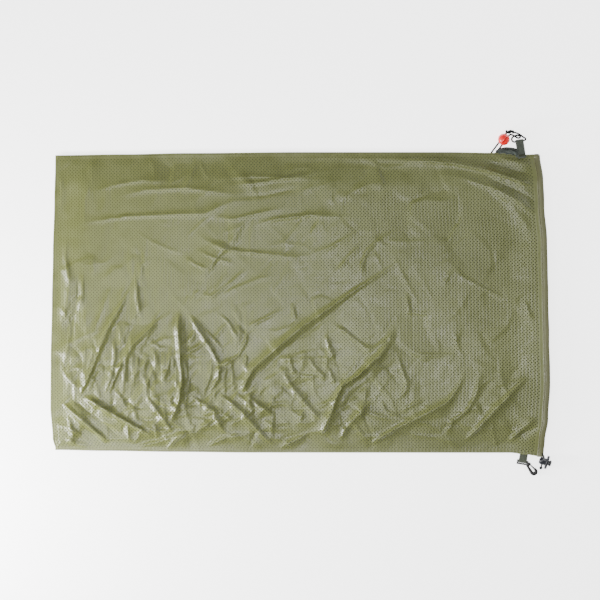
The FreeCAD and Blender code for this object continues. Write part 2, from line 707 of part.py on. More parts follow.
pb = body_in("drawcord_lock_button")
sk = sketch_on(pb, "XZ_Plane", "button_half")
sr, cr = S("lock_stem") / 2.0, S("lock_cap_dia") / 2.0
x_cap = 3.4 + S("lock_cap_gap")
poly_sketch(sk, [(-9.6, 0.0), (-9.6, sr), (x_cap, sr), (x_cap, cr), (x_cap + S("lock_cap_thk") - 1.0, cr),
                 (x_cap + S("lock_cap_thk"), cr - 1.2), (x_cap + S("lock_cap_thk"), 0.0)])
brev = pb.newObject("PartDesign::Revolution", "button_turn")
brev.Profile = sk
brev.ReferenceAxis = (sk, ["H_Axis"])
brev.Angle = 360.0
doc.recompute()
sk = sketch_on(pb, "XZ_Plane", "button_slot")
TRAV = 2.1
poly_sketch(sk, [(SLOT_AT - sw, -sh - sw), (SLOT_AT + sw + TRAV, -sh - sw), (SLOT_AT + sw + TRAV, sh + sw), (SLOT_AT - sw, sh + sw)])
bslot = pb.newObject("PartDesign::Pocket", "button_slot_cut")
bslot.Profile = sk
bslot.Type = "ThroughAll"
bslot.Midplane = True
doc.recompute()
if not bslot.Shape.Volume < brev.Shape.Volume - 20:
    raise RuntimeError("the button's slot cut nothing")
pb.Placement = lock_place
keep(pb, "drawcord_lock_button")
feature("drawcord_lock_spring", coil(3.2, 0.6, 2.0, 1.4),
        lock_place.multiply(FreeCAD.Placement(V(-11.4, 0, 0), RX)))


# ------------------------------------------------------------------ drawcord
def lock_pt(a, b, dz):
    p = LOCK + e1 * a + e2 * b
    return (p.x, p.y, p.z + dz)


ZF, ZB = 1.8, -1.8


def casing_mid(y):
    return right_x(y) - CAS / 2.0


front_run = [(casing_mid(y) + k, y, casing_z(y)) for y, k in
             ((-309, 2.7), (-297, 1.6), (-282, 0.6), (-266, 0.1), (-250, 0), (-222, 0), (-175, 0),
              (-115, 0), (-50, 0), (15, 0), (78, 0), (135, 0), (182, 0), (216, 0), (238, 0),
              (254, 0), (270, 0), (285, 0), (299, 0))]
back_run = [(casing_mid(y) + k, y, CT / 2.0) for y, k in
            ((299, 0), (282, 0.15), (262, 0), (230, 0.15), (185, 0), (125, 0.15), (60, 0), (-5, 0.15),
             (-70, 0), (-135, 0.15), (-190, 0), (-235, 0), (-268, 0.2), (-292, 1.0), (-307, 2.5))]
UP_F, UP_B = lock_pt(SLOT_AT, 9.4, ZF), lock_pt(SLOT_AT, 9.6, ZB)
KNOT_AT = -14.3
KNOT = V(*lock_pt(SLOT_AT, KNOT_AT, 0.0))
DRAW = ([lock_pt(SLOT_AT, KNOT_AT, ZF - 0.3), lock_pt(SLOT_AT, -3.5, ZF), lock_pt(SLOT_AT, 3.2, ZF), UP_F]
        + front_run
        + [(casing_mid(306), 307.5, casing_z(303) - 0.3), (casing_mid(306), 307.3, CT / 2.0)]
        + back_run
        + [UP_B, lock_pt(SLOT_AT, 3.0, ZB), lock_pt(SLOT_AT, -3.7, ZB), lock_pt(SLOT_AT, KNOT_AT, ZB + 0.3)])
feature("drawcord", tube(DRAW, CD, "drawcord"))
ends = prim("Ellipsoid", "drawcord_end_knot", None)
ends.Radius1, ends.Radius2, ends.Radius3 = 5.4, 3.3, 3.2
ends.Angle1, ends.Angle2, ends.Angle3 = -90, 90, 360
ends.Placement = in_frame(KNOT, V(0, 0, 1), e1)
doc.recompute()
keep(ends, "drawcord_end_knot")

# ------------------------------------------------------------------ checks and export
doc.recompute()
for obj in doc.Objects:
    if "Invalid" in obj.State or "Error" in obj.State:
        raise RuntimeError("failed: %s %s" % (obj.Name, obj.State))
for obj in NODES:
    shape = obj.Shape
    if shape.isNull() or not shape.isValid():
        raise RuntimeError("bad shape: " + obj.Label)
    if len(shape.Solids) < 1:
        raise RuntimeError("no solid: " + obj.Label)
for obj in NODES:
    b = obj.Shape.BoundBox
    print("%-24s vol %9.1f  solids %d  x %.1f..%.1f  y %.1f..%.1f  z %.2f..%.2f"
          % (obj.Label, obj.Shape.Volume, len(obj.Shape.Solids), b.XMin, b.XMax, b.YMin, b.YMax, b.ZMin, b.ZMax))
    obj.Shape.exportStep("parts/%s.step" % obj.Label)
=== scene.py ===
import bpy
import bmesh
import json
import math
import numpy as np
from mathutils import Vector, Matrix

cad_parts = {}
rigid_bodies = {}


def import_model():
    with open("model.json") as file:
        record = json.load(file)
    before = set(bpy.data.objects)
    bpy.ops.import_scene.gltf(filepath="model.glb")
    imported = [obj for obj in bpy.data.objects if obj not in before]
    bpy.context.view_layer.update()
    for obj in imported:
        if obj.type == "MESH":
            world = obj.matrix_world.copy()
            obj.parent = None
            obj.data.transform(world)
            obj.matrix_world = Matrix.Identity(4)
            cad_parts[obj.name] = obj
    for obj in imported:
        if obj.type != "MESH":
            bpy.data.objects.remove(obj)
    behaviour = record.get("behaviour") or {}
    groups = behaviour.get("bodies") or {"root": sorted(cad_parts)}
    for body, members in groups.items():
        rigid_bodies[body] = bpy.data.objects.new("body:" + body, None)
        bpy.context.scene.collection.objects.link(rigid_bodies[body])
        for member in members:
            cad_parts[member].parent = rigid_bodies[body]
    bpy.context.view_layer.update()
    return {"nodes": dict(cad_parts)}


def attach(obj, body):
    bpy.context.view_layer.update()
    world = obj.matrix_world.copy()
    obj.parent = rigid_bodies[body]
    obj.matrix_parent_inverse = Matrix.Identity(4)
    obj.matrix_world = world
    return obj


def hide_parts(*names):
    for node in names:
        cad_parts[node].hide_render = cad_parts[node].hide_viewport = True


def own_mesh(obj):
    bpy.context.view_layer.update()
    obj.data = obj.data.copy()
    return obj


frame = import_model()
K = 0.001
rng = np.random.default_rng(41)

# ---------------------------------------------------------------- camera first
cam_data = bpy.data.cameras.new("camera")
cam = bpy.data.objects.new("camera", cam_data)
bpy.context.scene.collection.objects.link(cam)
CAM_H = 5.0
cam.location = (0.0, 0.0051, CAM_H)
cam.rotation_euler = (0, 0, 0)
cam_data.sensor_width = 36.0
cam_data.lens = 36.0 * (CAM_H - 0.008) / 1.224
cam_data.clip_end = 50.0
bpy.context.scene.camera = cam


def link(obj):
    bpy.context.scene.collection.objects.link(obj)
    return obj


def mesh_obj(name, verts, faces, smooth=True):
    me = bpy.data.meshes.new(name)
    me.from_pydata([tuple(map(float, v)) for v in verts], [], faces)
    me.update()
    if smooth:
        me.polygons.foreach_set("use_smooth", [True] * len(me.polygons))
    return link(bpy.data.objects.new(name, me))


def nurbs(name, pts, dia, order=3):
    cu = bpy.data.curves.new(name, "CURVE")
    cu.dimensions = "3D"
    sp = cu.splines.new("NURBS")
    sp.points.add(len(pts) - 1)
    for p, q in zip(sp.points, pts):
        p.co = (q[0] * K, q[1] * K, q[2] * K, 1.0)
    sp.order_u = order
    sp.use_endpoint_u = True
    sp.resolution_u = 12
    cu.bevel_depth = dia / 2.0 * K
    cu.bevel_resolution = 5
    cu.use_fill_caps = True
    return link(bpy.data.objects.new(name, cu))


# ---------------------------------------------------------------- shared layout (mm)
def lerp_table(table, t):
    xs = np.array([p[0] for p in table], float)
    fs = np.array([p[1] for p in table], float)
    t = np.asarray(t, float)
    i = np.clip(np.searchsorted(xs, t) - 1, 0, len(xs) - 2)
    k = np.clip((t - xs[i]) / (xs[i + 1] - xs[i]), 0, 1)
    k = k * k * (3 - 2 * k)
    return fs[i] + (fs[i + 1] - fs[i]) * k


LEFT = [(-301, 2.5), (-280, -3.0), (-215, -7.5), (-120, -7.0), (0, -4.5),
        (100, -2.5), (210, 0.5), (290, 2.5)]
RIGHT = [(-314, -5.0), (-280, -2.5), (-235, 4.0), (-160, 8.0), (-75, 6.0),
         (20, 4.0), (120, 2.0), (200, -4.0), (250, -6.0), (303, -12.5)]
TOP = [(-500, -4.5), (-360, -2.5), (-230, 0.0), (0, 2.0), (300, 2.0),
       (400, 0.5), (458, -3.0), (492, -2.0)]
BOTTOM = [(-500, 4.0), (-400, 2.0), (-260, 0.0), (-100, -1.5), (430, -1.8),
          (462, -5.5), (494, -9.5)]
HL, HW = 502.0, 305.0


def left_x(y):
    return -HL + lerp_table(LEFT, y)


def right_x(y):
    return HL + lerp_table(RIGHT, y)


def top_y(x):
    return HW + lerp_table(TOP, x)


def bottom_y(x):
    return -HW + lerp_table(BOTTOM, x)


def rise(d, run=60.0):
    return 0.5 * (1 - np.cos(np.pi * np.clip(d / run, 0, 1)))


Z_SEAM = 4.4
CAS = 13.0


def crop_pt(cx, cy):
    """Fold-map units to millimetres: 0.68 mm to a unit, from the upper left."""
    return (0.68 * cx - 518.2, 315.2 - 0.68 * cy)


# folds of the cloth: (points, height mm, half width mm, start taper, end taper)
FOLDS = [
    ([(588, 735), (600, 700), (622, 662), (680, 610), (760, 543), (840, 488), (930, 425), (1010, 375), (1080, 330), (1142, 290)], 6.0, 6.0, 0.03, 0.75),
    ([(945, 392), (948, 350), (962, 312), (990, 285), (1062, 240)], 1.6, 4.0, 0.2, 0.6),
    ([(826, 862), (838, 830), (855, 795), (872, 745), (890, 712), (940, 680), (1000, 625), (1030, 580), (1046, 515)], 8.0, 6.5, 0.05, 0.5),
    ([(880, 880), (900, 840), (940, 795), (988, 745)], 4.5, 6.0, 0.2, 0.4),
    ([(905, 720), (925, 690), (960, 660)], 3.0, 4.0, 0.3, 0.3),
    ([(960, 895), (1050, 842), (1150, 792), (1208, 760), (1240, 710), (1262, 650)], 4.2, 6.5, 0.15, 0.4),
    ([(1200, 870), (1218, 820), (1262, 790), (1290, 740), (1300, 680), (1275, 635)], 2.2, 5.0, 0.2, 0.4),
    ([(1255, 882), (1330, 805), (1400, 730), (1452, 678)], 4.6, 6.0, 0.15, 0.35),
    ([(1385, 880), (1430, 845), (1478, 800)], 3.6, 7.0, 0.2, 0.3),
    ([(400, 478), (397, 540), (401, 620), (408, 700), (398, 765), (368, 835)], 7.0, 5.5, 0.25, 0.15),
    ([(424, 488), (460, 550), (500, 612), (522, 655)], 5.2, 4.5, 0.35, 0.1),
    ([(522, 652), (515, 695), (478, 748)], 5.5, 5.0, 0.1, 0.4),
    ([(522, 655), (580, 622), (604, 560), (600, 500)], 2.6, 4.0, 0.1, 0.5),
    ([(362, 495), (310, 545), (262, 590), (225, 650), (186, 745)], 5.0, 5.0, 0.3, 0.2),
    ([(270, 372), (273, 450), (288, 528)], 3.4, 4.0, 0.3, 0.4),
    ([(264, 400), (228, 470), (185, 545), (160, 605), (128, 690), (92, 760)], 4.4, 4.5, 0.4, 0.2),
    ([(205, 560), (206, 630), (196, 690), (172, 745)], 4.0, 4.5, 0.25, 0.3),
    ([(150, 590), (118, 690), (100, 740)], 3.2, 4.0, 0.3, 0.3),
    ([(245, 600), (236, 680), (226, 745)], 3.2, 4.5, 0.3, 0.3),
    ([(300, 740), (338, 795), (384, 858)], 4.8, 5.0, 0.2, 0.3),
    ([(330, 640), (300, 720), (310, 775)], 2.6, 4.0, 0.3, 0.3),
    ([(48, 765), (118, 825), (190, 885)], 6.0, 6.5, 0.15, 0.2),
    ([(108, 742), (200, 798), (262, 832), (335, 872)], 6.0, 6.0, 0.15, 0.25),
    ([(58, 872), (96, 890), (140, 902)], 3.5, 6.0, 0.2, 0.3),
    ([(66, 800), (80, 860), (70, 900)], 3.0, 6.0, 0.2, 0.3),
    ([(250, 900), (330, 884), (420, 856), (500, 860)], 3.6, 6.0, 0.2, 0.3),
    ([(360, 905), (395, 870), (430, 850)], 4.0, 5.0, 0.2, 0.2),
    ([(430, 740), (480, 775), (520, 800)], 3.4, 4.5, 0.3, 0.3),
    ([(520, 800), (470, 838), (440, 862)], 3.4, 4.5, 0.3, 0.3),
    ([(520, 740), (560, 768), (600, 805), (650, 862), (688, 895)], 4.6, 5.0, 0.2, 0.3),
    ([(600, 738), (642, 776), (690, 805)], 3.6, 4.5, 0.2, 0.4),
    ([(545, 830), (590, 812), (640, 770)], 3.0, 4.5, 0.3, 0.3),
    ([(480, 895), (540, 870), (600, 860)], 3.2, 5.0, 0.3, 0.3),
    ([(700, 900), (745, 880), (792, 852)], 4.2, 5.0, 0.2, 0.3),
    ([(690, 640), (740, 720), (790, 782), (832, 826)], 3.4, 4.5, 0.4, 0.2),
    ([(728, 618), (736, 655), (750, 690)], 2.4, 3.6, 0.3, 0.4),
    ([(785, 625), (810, 665), (845, 700)], 2.4, 3.6, 0.3, 0.3),
    ([(836, 556), (850, 600), (866, 640)], 3.0, 3.8, 0.3, 0.3),
    ([(846, 655), (858, 690), (870, 712)], 2.6, 3.6, 0.3, 0.3),
    ([(850, 525), (900, 552), (955, 598), (1004, 612)], 2.0, 4.0, 0.3, 0.3),
    ([(1050, 612), (1066, 660), (1082, 705), (1070, 748)], 2.6, 4.0, 0.35, 0.3),
    ([(1082, 430), (1086, 480), (1096, 515)], 1.6, 4.0, 0.4, 0.4),
    ([(738, 462), (744, 495), (748, 525)], 1.8, 4.0, 0.4, 0.4),
    ([(604, 620), (596, 650), (606, 672)], 3.0, 4.0, 0.3, 0.3),
    ([(600, 540), (660, 510), (720, 480)], 1.6, 4.0, 0.3, 0.5),
    ([(1220, 368), (1290, 410), (1350, 440), (1410, 474)], 1.3, 4.0, 0.4, 0.4),
    ([(1436, 455), (1448, 498), (1468, 518)], 2.0, 4.0, 0.4, 0.4),
    ([(1190, 420), (1205, 385), (1220, 362)], 1.0, 3.5, 0.4, 0.4),
    ([(1000, 755), (1020, 790), (1068, 806)], 1.8, 3.6, 0.3, 0.4),
    ([(1060, 790), (1100, 770), (1150, 745)], 1.6, 4.0, 0.3, 0.4),
    # long folds below the upper edge, turning down at the mouth's corner
    ([(640, 34), (860, 26), (1060, 30), (1220, 44), (1320, 66), (1400, 92), (1470, 118)], 4.6, 9.0, 0.6, 0.05),
    ([(1310, 98), (1380, 140), (1425, 165), (1470, 200)], 3.6, 8.0, 0.4, 0.1),
    ([(1330, 18), (1390, 34), (1476, 52)], 4.0, 7.0, 0.3, 0.1),
    ([(1150, 70), (1260, 92), (1330, 118), (1400, 175), (1445, 240), (1470, 330)], 1.8, 10.0, 0.4, 0.4),
    # soft ripples of the upper left
    ([(60, 262), (110, 225), (240, 205), (380, 200), (480, 196), (560, 160), (680, 158)], 2.0, 7.0, 0.3, 0.4),
    ([(118, 138), (200, 112), (290, 96), (400, 104)], 1.5, 8.0, 0.4, 0.4),
    ([(180, 152), (300, 126), (420, 120), (560, 138), (640, 130)], 1.6, 7.0, 0.4, 0.4),
    ([(540, 112), (640, 104), (740, 88), (840, 70), (900, 66)], 1.9, 6.0, 0.3, 0.5),
    ([(470, 95), (620, 84), (760, 92), (880, 96)], 1.3, 7.0, 0.4, 0.4),
    ([(610, 236), (690, 214), (790, 202), (940, 210)], 2.0, 6.0, 0.3, 0.5),
    ([(470, 200), (560, 214), (640, 196), (740, 176)], 1.5, 6.0, 0.4, 0.4),
    ([(430, 234), (470, 272), (540, 306), (640, 316), (740, 328), (840, 318)], 1.7, 6.0, 0.3, 0.5),
    ([(770, 330), (850, 300), (920, 262), (960, 230)], 1.3, 6.0, 0.4, 0.4),
    ([(860, 390), (905, 330), (950, 290)], 1.2, 4.0, 0.4, 0.4),
    ([(430, 432), (500, 446), (560, 400), (620, 350)], 1.3, 4.0, 0.4, 0.4),
    ([(505, 455), (560, 425), (640, 392), (700, 380)], 1.2, 4.0, 0.4, 0.4),
    ([(440, 300), (500, 328), (575, 352)], 1.3, 4.0, 0.4, 0.4),
    ([(410, 320), (440, 345), (500, 372)], 1.3, 4.0, 0.4, 0.4),
    ([(505, 490), (545, 520), (574, 570), (570, 610)], 2.2, 4.0, 0.4, 0.4),
    ([(474, 540), (510, 580), (534, 618)], 2.0, 3.6, 0.4, 0.3),
    # folds along the base end
    ([(62, 250), (58, 330), (70, 400), (62, 470), (36, 560)], 3.4, 8.0, 0.4, 0.3),
    ([(112, 372), (108, 440), (96, 500)], 3.0, 5.0, 0.4, 0.3),
    ([(78, 520), (66, 600), (48, 670)], 3.0, 5.0, 0.3, 0.3),
    ([(40, 60), (48, 130), (42, 200)], 2.2, 7.0, 0.4, 0.4),
]
VALLEYS = [
    ([(96, 372), (98, 440), (82, 520), (62, 620)], 3.4, 6.0, 0.3, 0.3),
    ([(1408, 868), (1440, 850), (1482, 836)], 5.0, 9.0, 0.3, 0.2),
    ([(1300, 34), (1390, 62), (1474, 88)], 2.6, 5.0, 0.3, 0.1),
    ([(1300, 78), (1400, 122), (1470, 160)], 2.2, 6.0, 0.3, 0.1),
    ([(420, 500), (424, 600), (430, 700), (424, 770)], 2.6, 5.0, 0.2, 0.3),
    ([(640, 680), (720, 600), (840, 510), (940, 440)], 1.8, 6.0, 0.1, 0.5),
    ([(880, 800), (920, 740), (980, 690)], 3.0, 5.0, 0.2, 0.4),
    ([(70, 745), (150, 808), (230, 872)], 2.4, 5.0, 0.2, 0.2),
    ([(560, 150), (660, 142), (780, 116)], 1.2, 5.0, 0.4, 0.4),
]


def fold_field(x, y, folds):
    out = np.zeros_like(x)
    for pts, h, w, ta, tb in folds:
        q = np.array([crop_pt(*p) for p in pts])
        lo, hi = q.min(0) - 5 * w - 6, q.max(0) + 5 * w + 6
        m = (x > lo[0]) & (x < hi[0]) & (y > lo[1]) & (y < hi[1])
        if not m.any():
            continue
        px, py = x[m], y[m]
        seg = np.diff(q, axis=0)
        ln = np.hypot(seg[:, 0], seg[:, 1])
        run = np.concatenate([[0], np.cumsum(ln)])
        best = np.full(px.shape, 1e9)
        at = np.zeros(px.shape)
        for k in range(len(seg)):
            t = ((px - q[k, 0]) * seg[k, 0] + (py - q[k, 1]) * seg[k, 1]) / ln[k] ** 2
            t = np.clip(t, 0, 1)
            d = np.hypot(px - q[k, 0] - t * seg[k, 0], py - q[k, 1] - t * seg[k, 1])
            near = d < best
            best = np.where(near, d, best)
            at = np.where(near, (run[k] + t * ln[k]) / run[-1], at)
        a = np.clip(at / max(ta, 1e-3), 0, 1) * np.clip((1 - at) / max(tb, 1e-3), 0, 1)
        a = a * a * (3 - 2 * a)
        ww = w * (0.75 + 0.35 * np.sin(7 * at + h))
        prof = np.exp(-(np.sqrt(best ** 2 + 1.2) - 1.1) / (0.62 * ww)) * 0.7 + 0.3 * np.exp(-(best / (1.6 * ww)) ** 2)
        out[m] += h * a * prof
    return out


def facets(x, y):
    """Flat, tilted patches between creases, as stiff coated cloth lies."""
    r = np.random.default_rng(19)
    n = 230
    c = np.stack([r.uniform(-500, 490, n), r.uniform(-300, 300, n)], axis=1)
    tilt = r.normal(0, 1, (n, 2))
    keep = r.random(n)
    best = np.full(x.shape, 1e9)
    second = np.full(x.shape, 1e9)
    h1 = np.zeros_like(x)
    wob = 9 * np.sin(x / 23.0 + 2 * np.sin(y / 41.0)) + 7 * np.sin(y / 17.0 + x / 60.0)
    for k in range(n):
        dx, dy = x - c[k, 0] + wob, (y - c[k, 1]) * 0.8 - wob * 0.6
        d = np.hypot(dx, dy)
        h = (tilt[k, 0] * dx + tilt[k, 1] * dy) * 0.030 + keep[k] * 0.8
        near = d < best
        second = np.where(near, best, np.minimum(second, d))
        h1 = np.where(near, h, h1)
        best = np.where(near, d, best)
    edge = np.clip((second - best) / 16.0, 0, 1)
    return h1 * edge * edge * (3 - 2 * edge)


def crumple_map(x, y):
    """How crumpled the cloth is: most at the lower left, little at the upper right."""
    a = np.exp(-(((x + 330) / 190) ** 2 + ((y + 165) / 120) ** 2))
    b = 0.9 * np.exp(-(((x + 160) / 220) ** 2 + ((y + 250) / 60) ** 2))
    c = 0.35 * np.exp(-(((x - 110) / 260) ** 2 + ((y + 170) / 110) ** 2))
    return 0.09 + np.clip(a + b + c, 0, 1.2)


def random_creases(n, seed):
    r = np.random.default_rng(seed)
    made = []
    tries = 0
    while len(made) < n and tries < 40 * n:
        tries += 1
        cx, cy = r.uniform(-480, 470), r.uniform(-285, 280)
        dens = float(crumple_map(np.array([cx]), np.array([cy]))[0])
        if r.random() > dens:
            continue
        if cy < -210:
            ang = r.normal(-0.35, 0.7)
        elif cx < -60:
            ang = r.normal(1.35, 0.55)
        else:
            ang = r.normal(0.7, 0.8)
        ln = r.uniform(28, 105) * (0.9 if dens > 0.5 else 1.2)
        bend = r.normal(0, 0.45)
        q = []
        for t in (-0.5, -0.17, 0.17, 0.5):
            a = ang + bend * t
            q.append((cx + ln * t * math.cos(a), cy + ln * t * math.sin(a)))
        h = r.uniform(0.5, 1.9) * (0.45 + 0.9 * min(dens, 1.0)) * (1 if r.random() < 0.7 else -1)
        made.append((q, h, r.uniform(1.8, 4.2)))
    return made


CREASES = random_creases(420, 7)


def crease_field(x, y):
    out = np.zeros_like(x)
    for q, h, w in CREASES:
        q = np.array(q)
        lo, hi = q.min(0) - 4 * w, q.max(0) + 4 * w
        m = (x > lo[0]) & (x < hi[0]) & (y > lo[1]) & (y < hi[1])
        if not m.any():
            continue
        px, py = x[m], y[m]
        best = np.full(px.shape, 1e9)
        at = np.zeros(px.shape)
        seg = np.diff(q, axis=0)
        for k in range(len(seg)):
            l2 = (seg[k] ** 2).sum()
            t = np.clip(((px - q[k, 0]) * seg[k, 0] + (py - q[k, 1]) * seg[k, 1]) / l2, 0, 1)
            d = np.hypot(px - q[k, 0] - t * seg[k, 0], py - q[k, 1] - t * seg[k, 1])
            near = d < best
            best = np.where(near, d, best)
            at = np.where(near, (k + t) / len(seg), at)
        a = np.sin(np.pi * np.clip(at, 0.001, 0.999)) ** 0.8
        out[m] += h * a * np.exp(-np.sqrt(best ** 2 + 0.4) / w)
    return out


def soft_waves(x, y):
    r = np.random.default_rng(3)
    out = np.zeros_like(x)
    for k in range(26):
        lam = r.uniform(70, 260)
        ang = r.uniform(0, math.pi)
        ph = r.uniform(0, 2 * math.pi)
        out += lam / 260 * np.sin(2 * math.pi * (x * math.cos(ang) + y * math.sin(ang)) / lam + ph)
    return out * 0.28


def edge_depth(x, y):
    """Distances to the closed edges: base end, and the nearer side."""
    return x - left_x(y), np.minimum(top_y(x) - y, y - bottom_y(x))


def front_z(x, y):
    d, e = edge_depth(x, y)
    base = Z_SEAM + 0.45 + 7.6 * rise(d, 75) * rise(e, 75)
    m = 1 - rise(right_x(y) - CAS + 1.6 - x, 70)
    base = base * (1 - m) + m * (Z_SEAM + 9.0 * rise(np.minimum(301.5 - y, y + 312.0)) + 1.9)
    near = rise(np.minimum(d, e) - 1.5, 22)
    mouth = rise(right_x(y) - CAS + 1.0 - x, 40) * 0.85 + 0.15
    w = fold_field(x, y, FOLDS) - fold_field(x, y, VALLEYS) + 1.35 * crease_field(x, y)
    w = np.where(w > 0, w, w * 0.8)
    w = w + facets(x, y) * (0.35 + 0.9 * crumple_map(x, y))
    z = base + soft_waves(x, y) * near * mouth + 1.35 * w * (0.12 + 0.88 * near) * mouth
    # small puckers along the sewn edges
    puck = 0.5 * np.sin(x / 6.1) * np.sin(x / 23.0 + 1.0) * np.exp(-e / 10.0)
    puck += 0.5 * np.sin(y / 5.7) * np.sin(y / 21.0) * np.exp(-np.abs(d) / 10.0)
    return np.maximum(z + puck * np.minimum(near * 4, 1), Z_SEAM + 0.25)


def back_z(x, y):
    d, e = edge_depth(x, y)
    near = rise(np.minimum(d, e), 30)
    return 0.45 + near * (0.35 + 0.35 * np.sin(x / 31.0 + 0.6 * np.sin(y / 40.0)) * np.sin(y / 27.0)) * 0.8


# ---------------------------------------------------------------- perforated cloth
def plan(u, v, x_end=CAS - 1.6):
    y0 = -HW + v * 2 * HW
    xa, xb = left_x(y0), right_x(y0) - x_end
    x = xa + (xb - xa) * u
    ya, yb = bottom_y(x), top_y(x)
    return x, ya + (yb - ya) * v


def perforated(name, nx, ny, hole, zfun, flip=False, odd=0, x_end=CAS - 1.6):
    """One sheet with a staggered grid of open holes."""
    ii, jj = np.meshgrid(np.arange(nx + 1), np.arange(ny + 1), indexing="ij")
    is_hole = ((ii + jj) % 2 == odd) & (ii > 1) & (jj > 1) & (ii < nx - 2) & (jj < ny - 1)
    idx_c = -np.ones(ii.shape, int)
    solid = ~is_hole
    idx_c[solid] = np.arange(solid.sum())
    n0 = int(solid.sum())
    idx_h = -np.ones(ii.shape, int)
    nh = int(is_hole.sum())
    idx_h[is_hole] = n0 + 4 * np.arange(nh)
    gi = [ii[solid].astype(float)]
    gj = [jj[solid].astype(float)]
    hi_, hj_ = ii[is_hole].astype(float), jj[is_hole].astype(float)
    quad_i = np.stack([hi_ + hole, hi_, hi_ - hole, hi_], axis=1).ravel()
    quad_j = np.stack([hj_, hj_ + hole, hj_, hj_ - hole], axis=1).ravel()
    gi = np.concatenate(gi + [quad_i])
    gj = np.concatenate(gj + [quad_j])
    x, y = plan(gi / nx, gj / ny, x_end)
    z = zfun(x, y)
    co = np.stack([x, y, z], axis=1) * K
    E, N, W_, S_ = 0, 1, 2, 3
    corner = [((0, 0), (N, E)), ((1, 0), (W_, N)), ((1, 1), (S_, W_)), ((0, 1), (E, S_))]
    loops, starts, totals = [], [], []
    pos = 0
    ih, ic = idx_h, idx_c
    for i in range(nx):
        for j in range(ny):
            face = []
            for (di, dj), (a, b) in corner:
                h = ih[i + di, j + dj]
                if h >= 0:
                    face.append(h + a)
                    face.append(h + b)
                else:
                    face.append(ic[i + di, j + dj])
            if flip:
                face.reverse()
            loops.extend(face)
            starts.append(pos)
            totals.append(len(face))
            pos += len(face)
    me = bpy.data.meshes.new(name)
    me.vertices.add(len(co))
    me.vertices.foreach_set("co", co.ravel())
    me.loops.add(len(loops))
    me.loops.foreach_set("vertex_index", np.array(loops, dtype=np.int32))
    me.polygons.add(len(starts))
    me.polygons.foreach_set("loop_start", np.array(starts, dtype=np.int32))
    me.polygons.foreach_set("use_smooth", np.ones(len(starts), dtype=bool))
    me.update(calc_edges=True)
    me.validate()
    at = me.attributes.new("cell", "FLOAT_VECTOR", "POINT")
    vec = np.stack([gi, gj, np.zeros_like(gi)], axis=1)
    at.data.foreach_set("vector", vec.ravel())
    return link(bpy.data.objects.new(name, me))


# ---------------------------------------------------------------- node helpers
class Mat:
    def __init__(self, name):
        self.m = bpy.data.materials.new(name)
        self.m.use_nodes = True
        self.t = self.m.node_tree
        self.b = self.t.nodes["Principled BSDF"]

    def n(self, kind, **vals):
        node = self.t.nodes.new(kind)
        for k, v in vals.items():
            if k in node.inputs:
                node.inputs[k].default_value = v
            else:
                setattr(node, k, v)
        return node

    def l(self, a, b):
        self.t.links.new(a, b)

    def set(self, **vals):
        for k, v in vals.items():
            key = k.replace("_", " ")
            self.b.inputs[key].default_value = v

    def ramp(self, src, stops):
        r = self.n("ShaderNodeValToRGB")
        el = r.color_ramp.elements
        while len(el) > 1:
            el.remove(el[-1])
        el[0].position, el[0].color = stops[0][0], (*stops[0][1], 1)
        for p, c in stops[1:]:
            e = el.new(p)
            e.color = (*c, 1)
        self.l(src, r.inputs["Fac"])
        return r.outputs["Color"]

    def math(self, op, a, b=None):
        node = self.n("ShaderNodeMath", operation=op)
        for k, v in enumerate((a, b)):
            if v is None:
                continue
            if isinstance(v, (int, float)):
                node.inputs[k].default_value = v
            else:
                self.l(v, node.inputs[k])
        return node.outputs[0]

    def mix(self, fac, a, b, blend="MIX"):
        node = self.n("ShaderNodeMix", data_type="RGBA", blend_type=blend)
        if isinstance(fac, (int, float)):
            node.inputs[0].default_value = fac
        else:
            self.l(fac, node.inputs[0])
        for k, v in ((6, a), (7, b)):
            if isinstance(v, tuple):
                node.inputs[k].default_value = (*v, 1)
            else:
                self.l(v, node.inputs[k])
        return node.outputs[2]

    def bump(self, height, strength, dist):
        node = self.n("ShaderNodeBump")
        node.inputs["Strength"].default_value = strength
        node.inputs["Distance"].default_value = dist
        self.l(height, node.inputs["Height"])
        return node


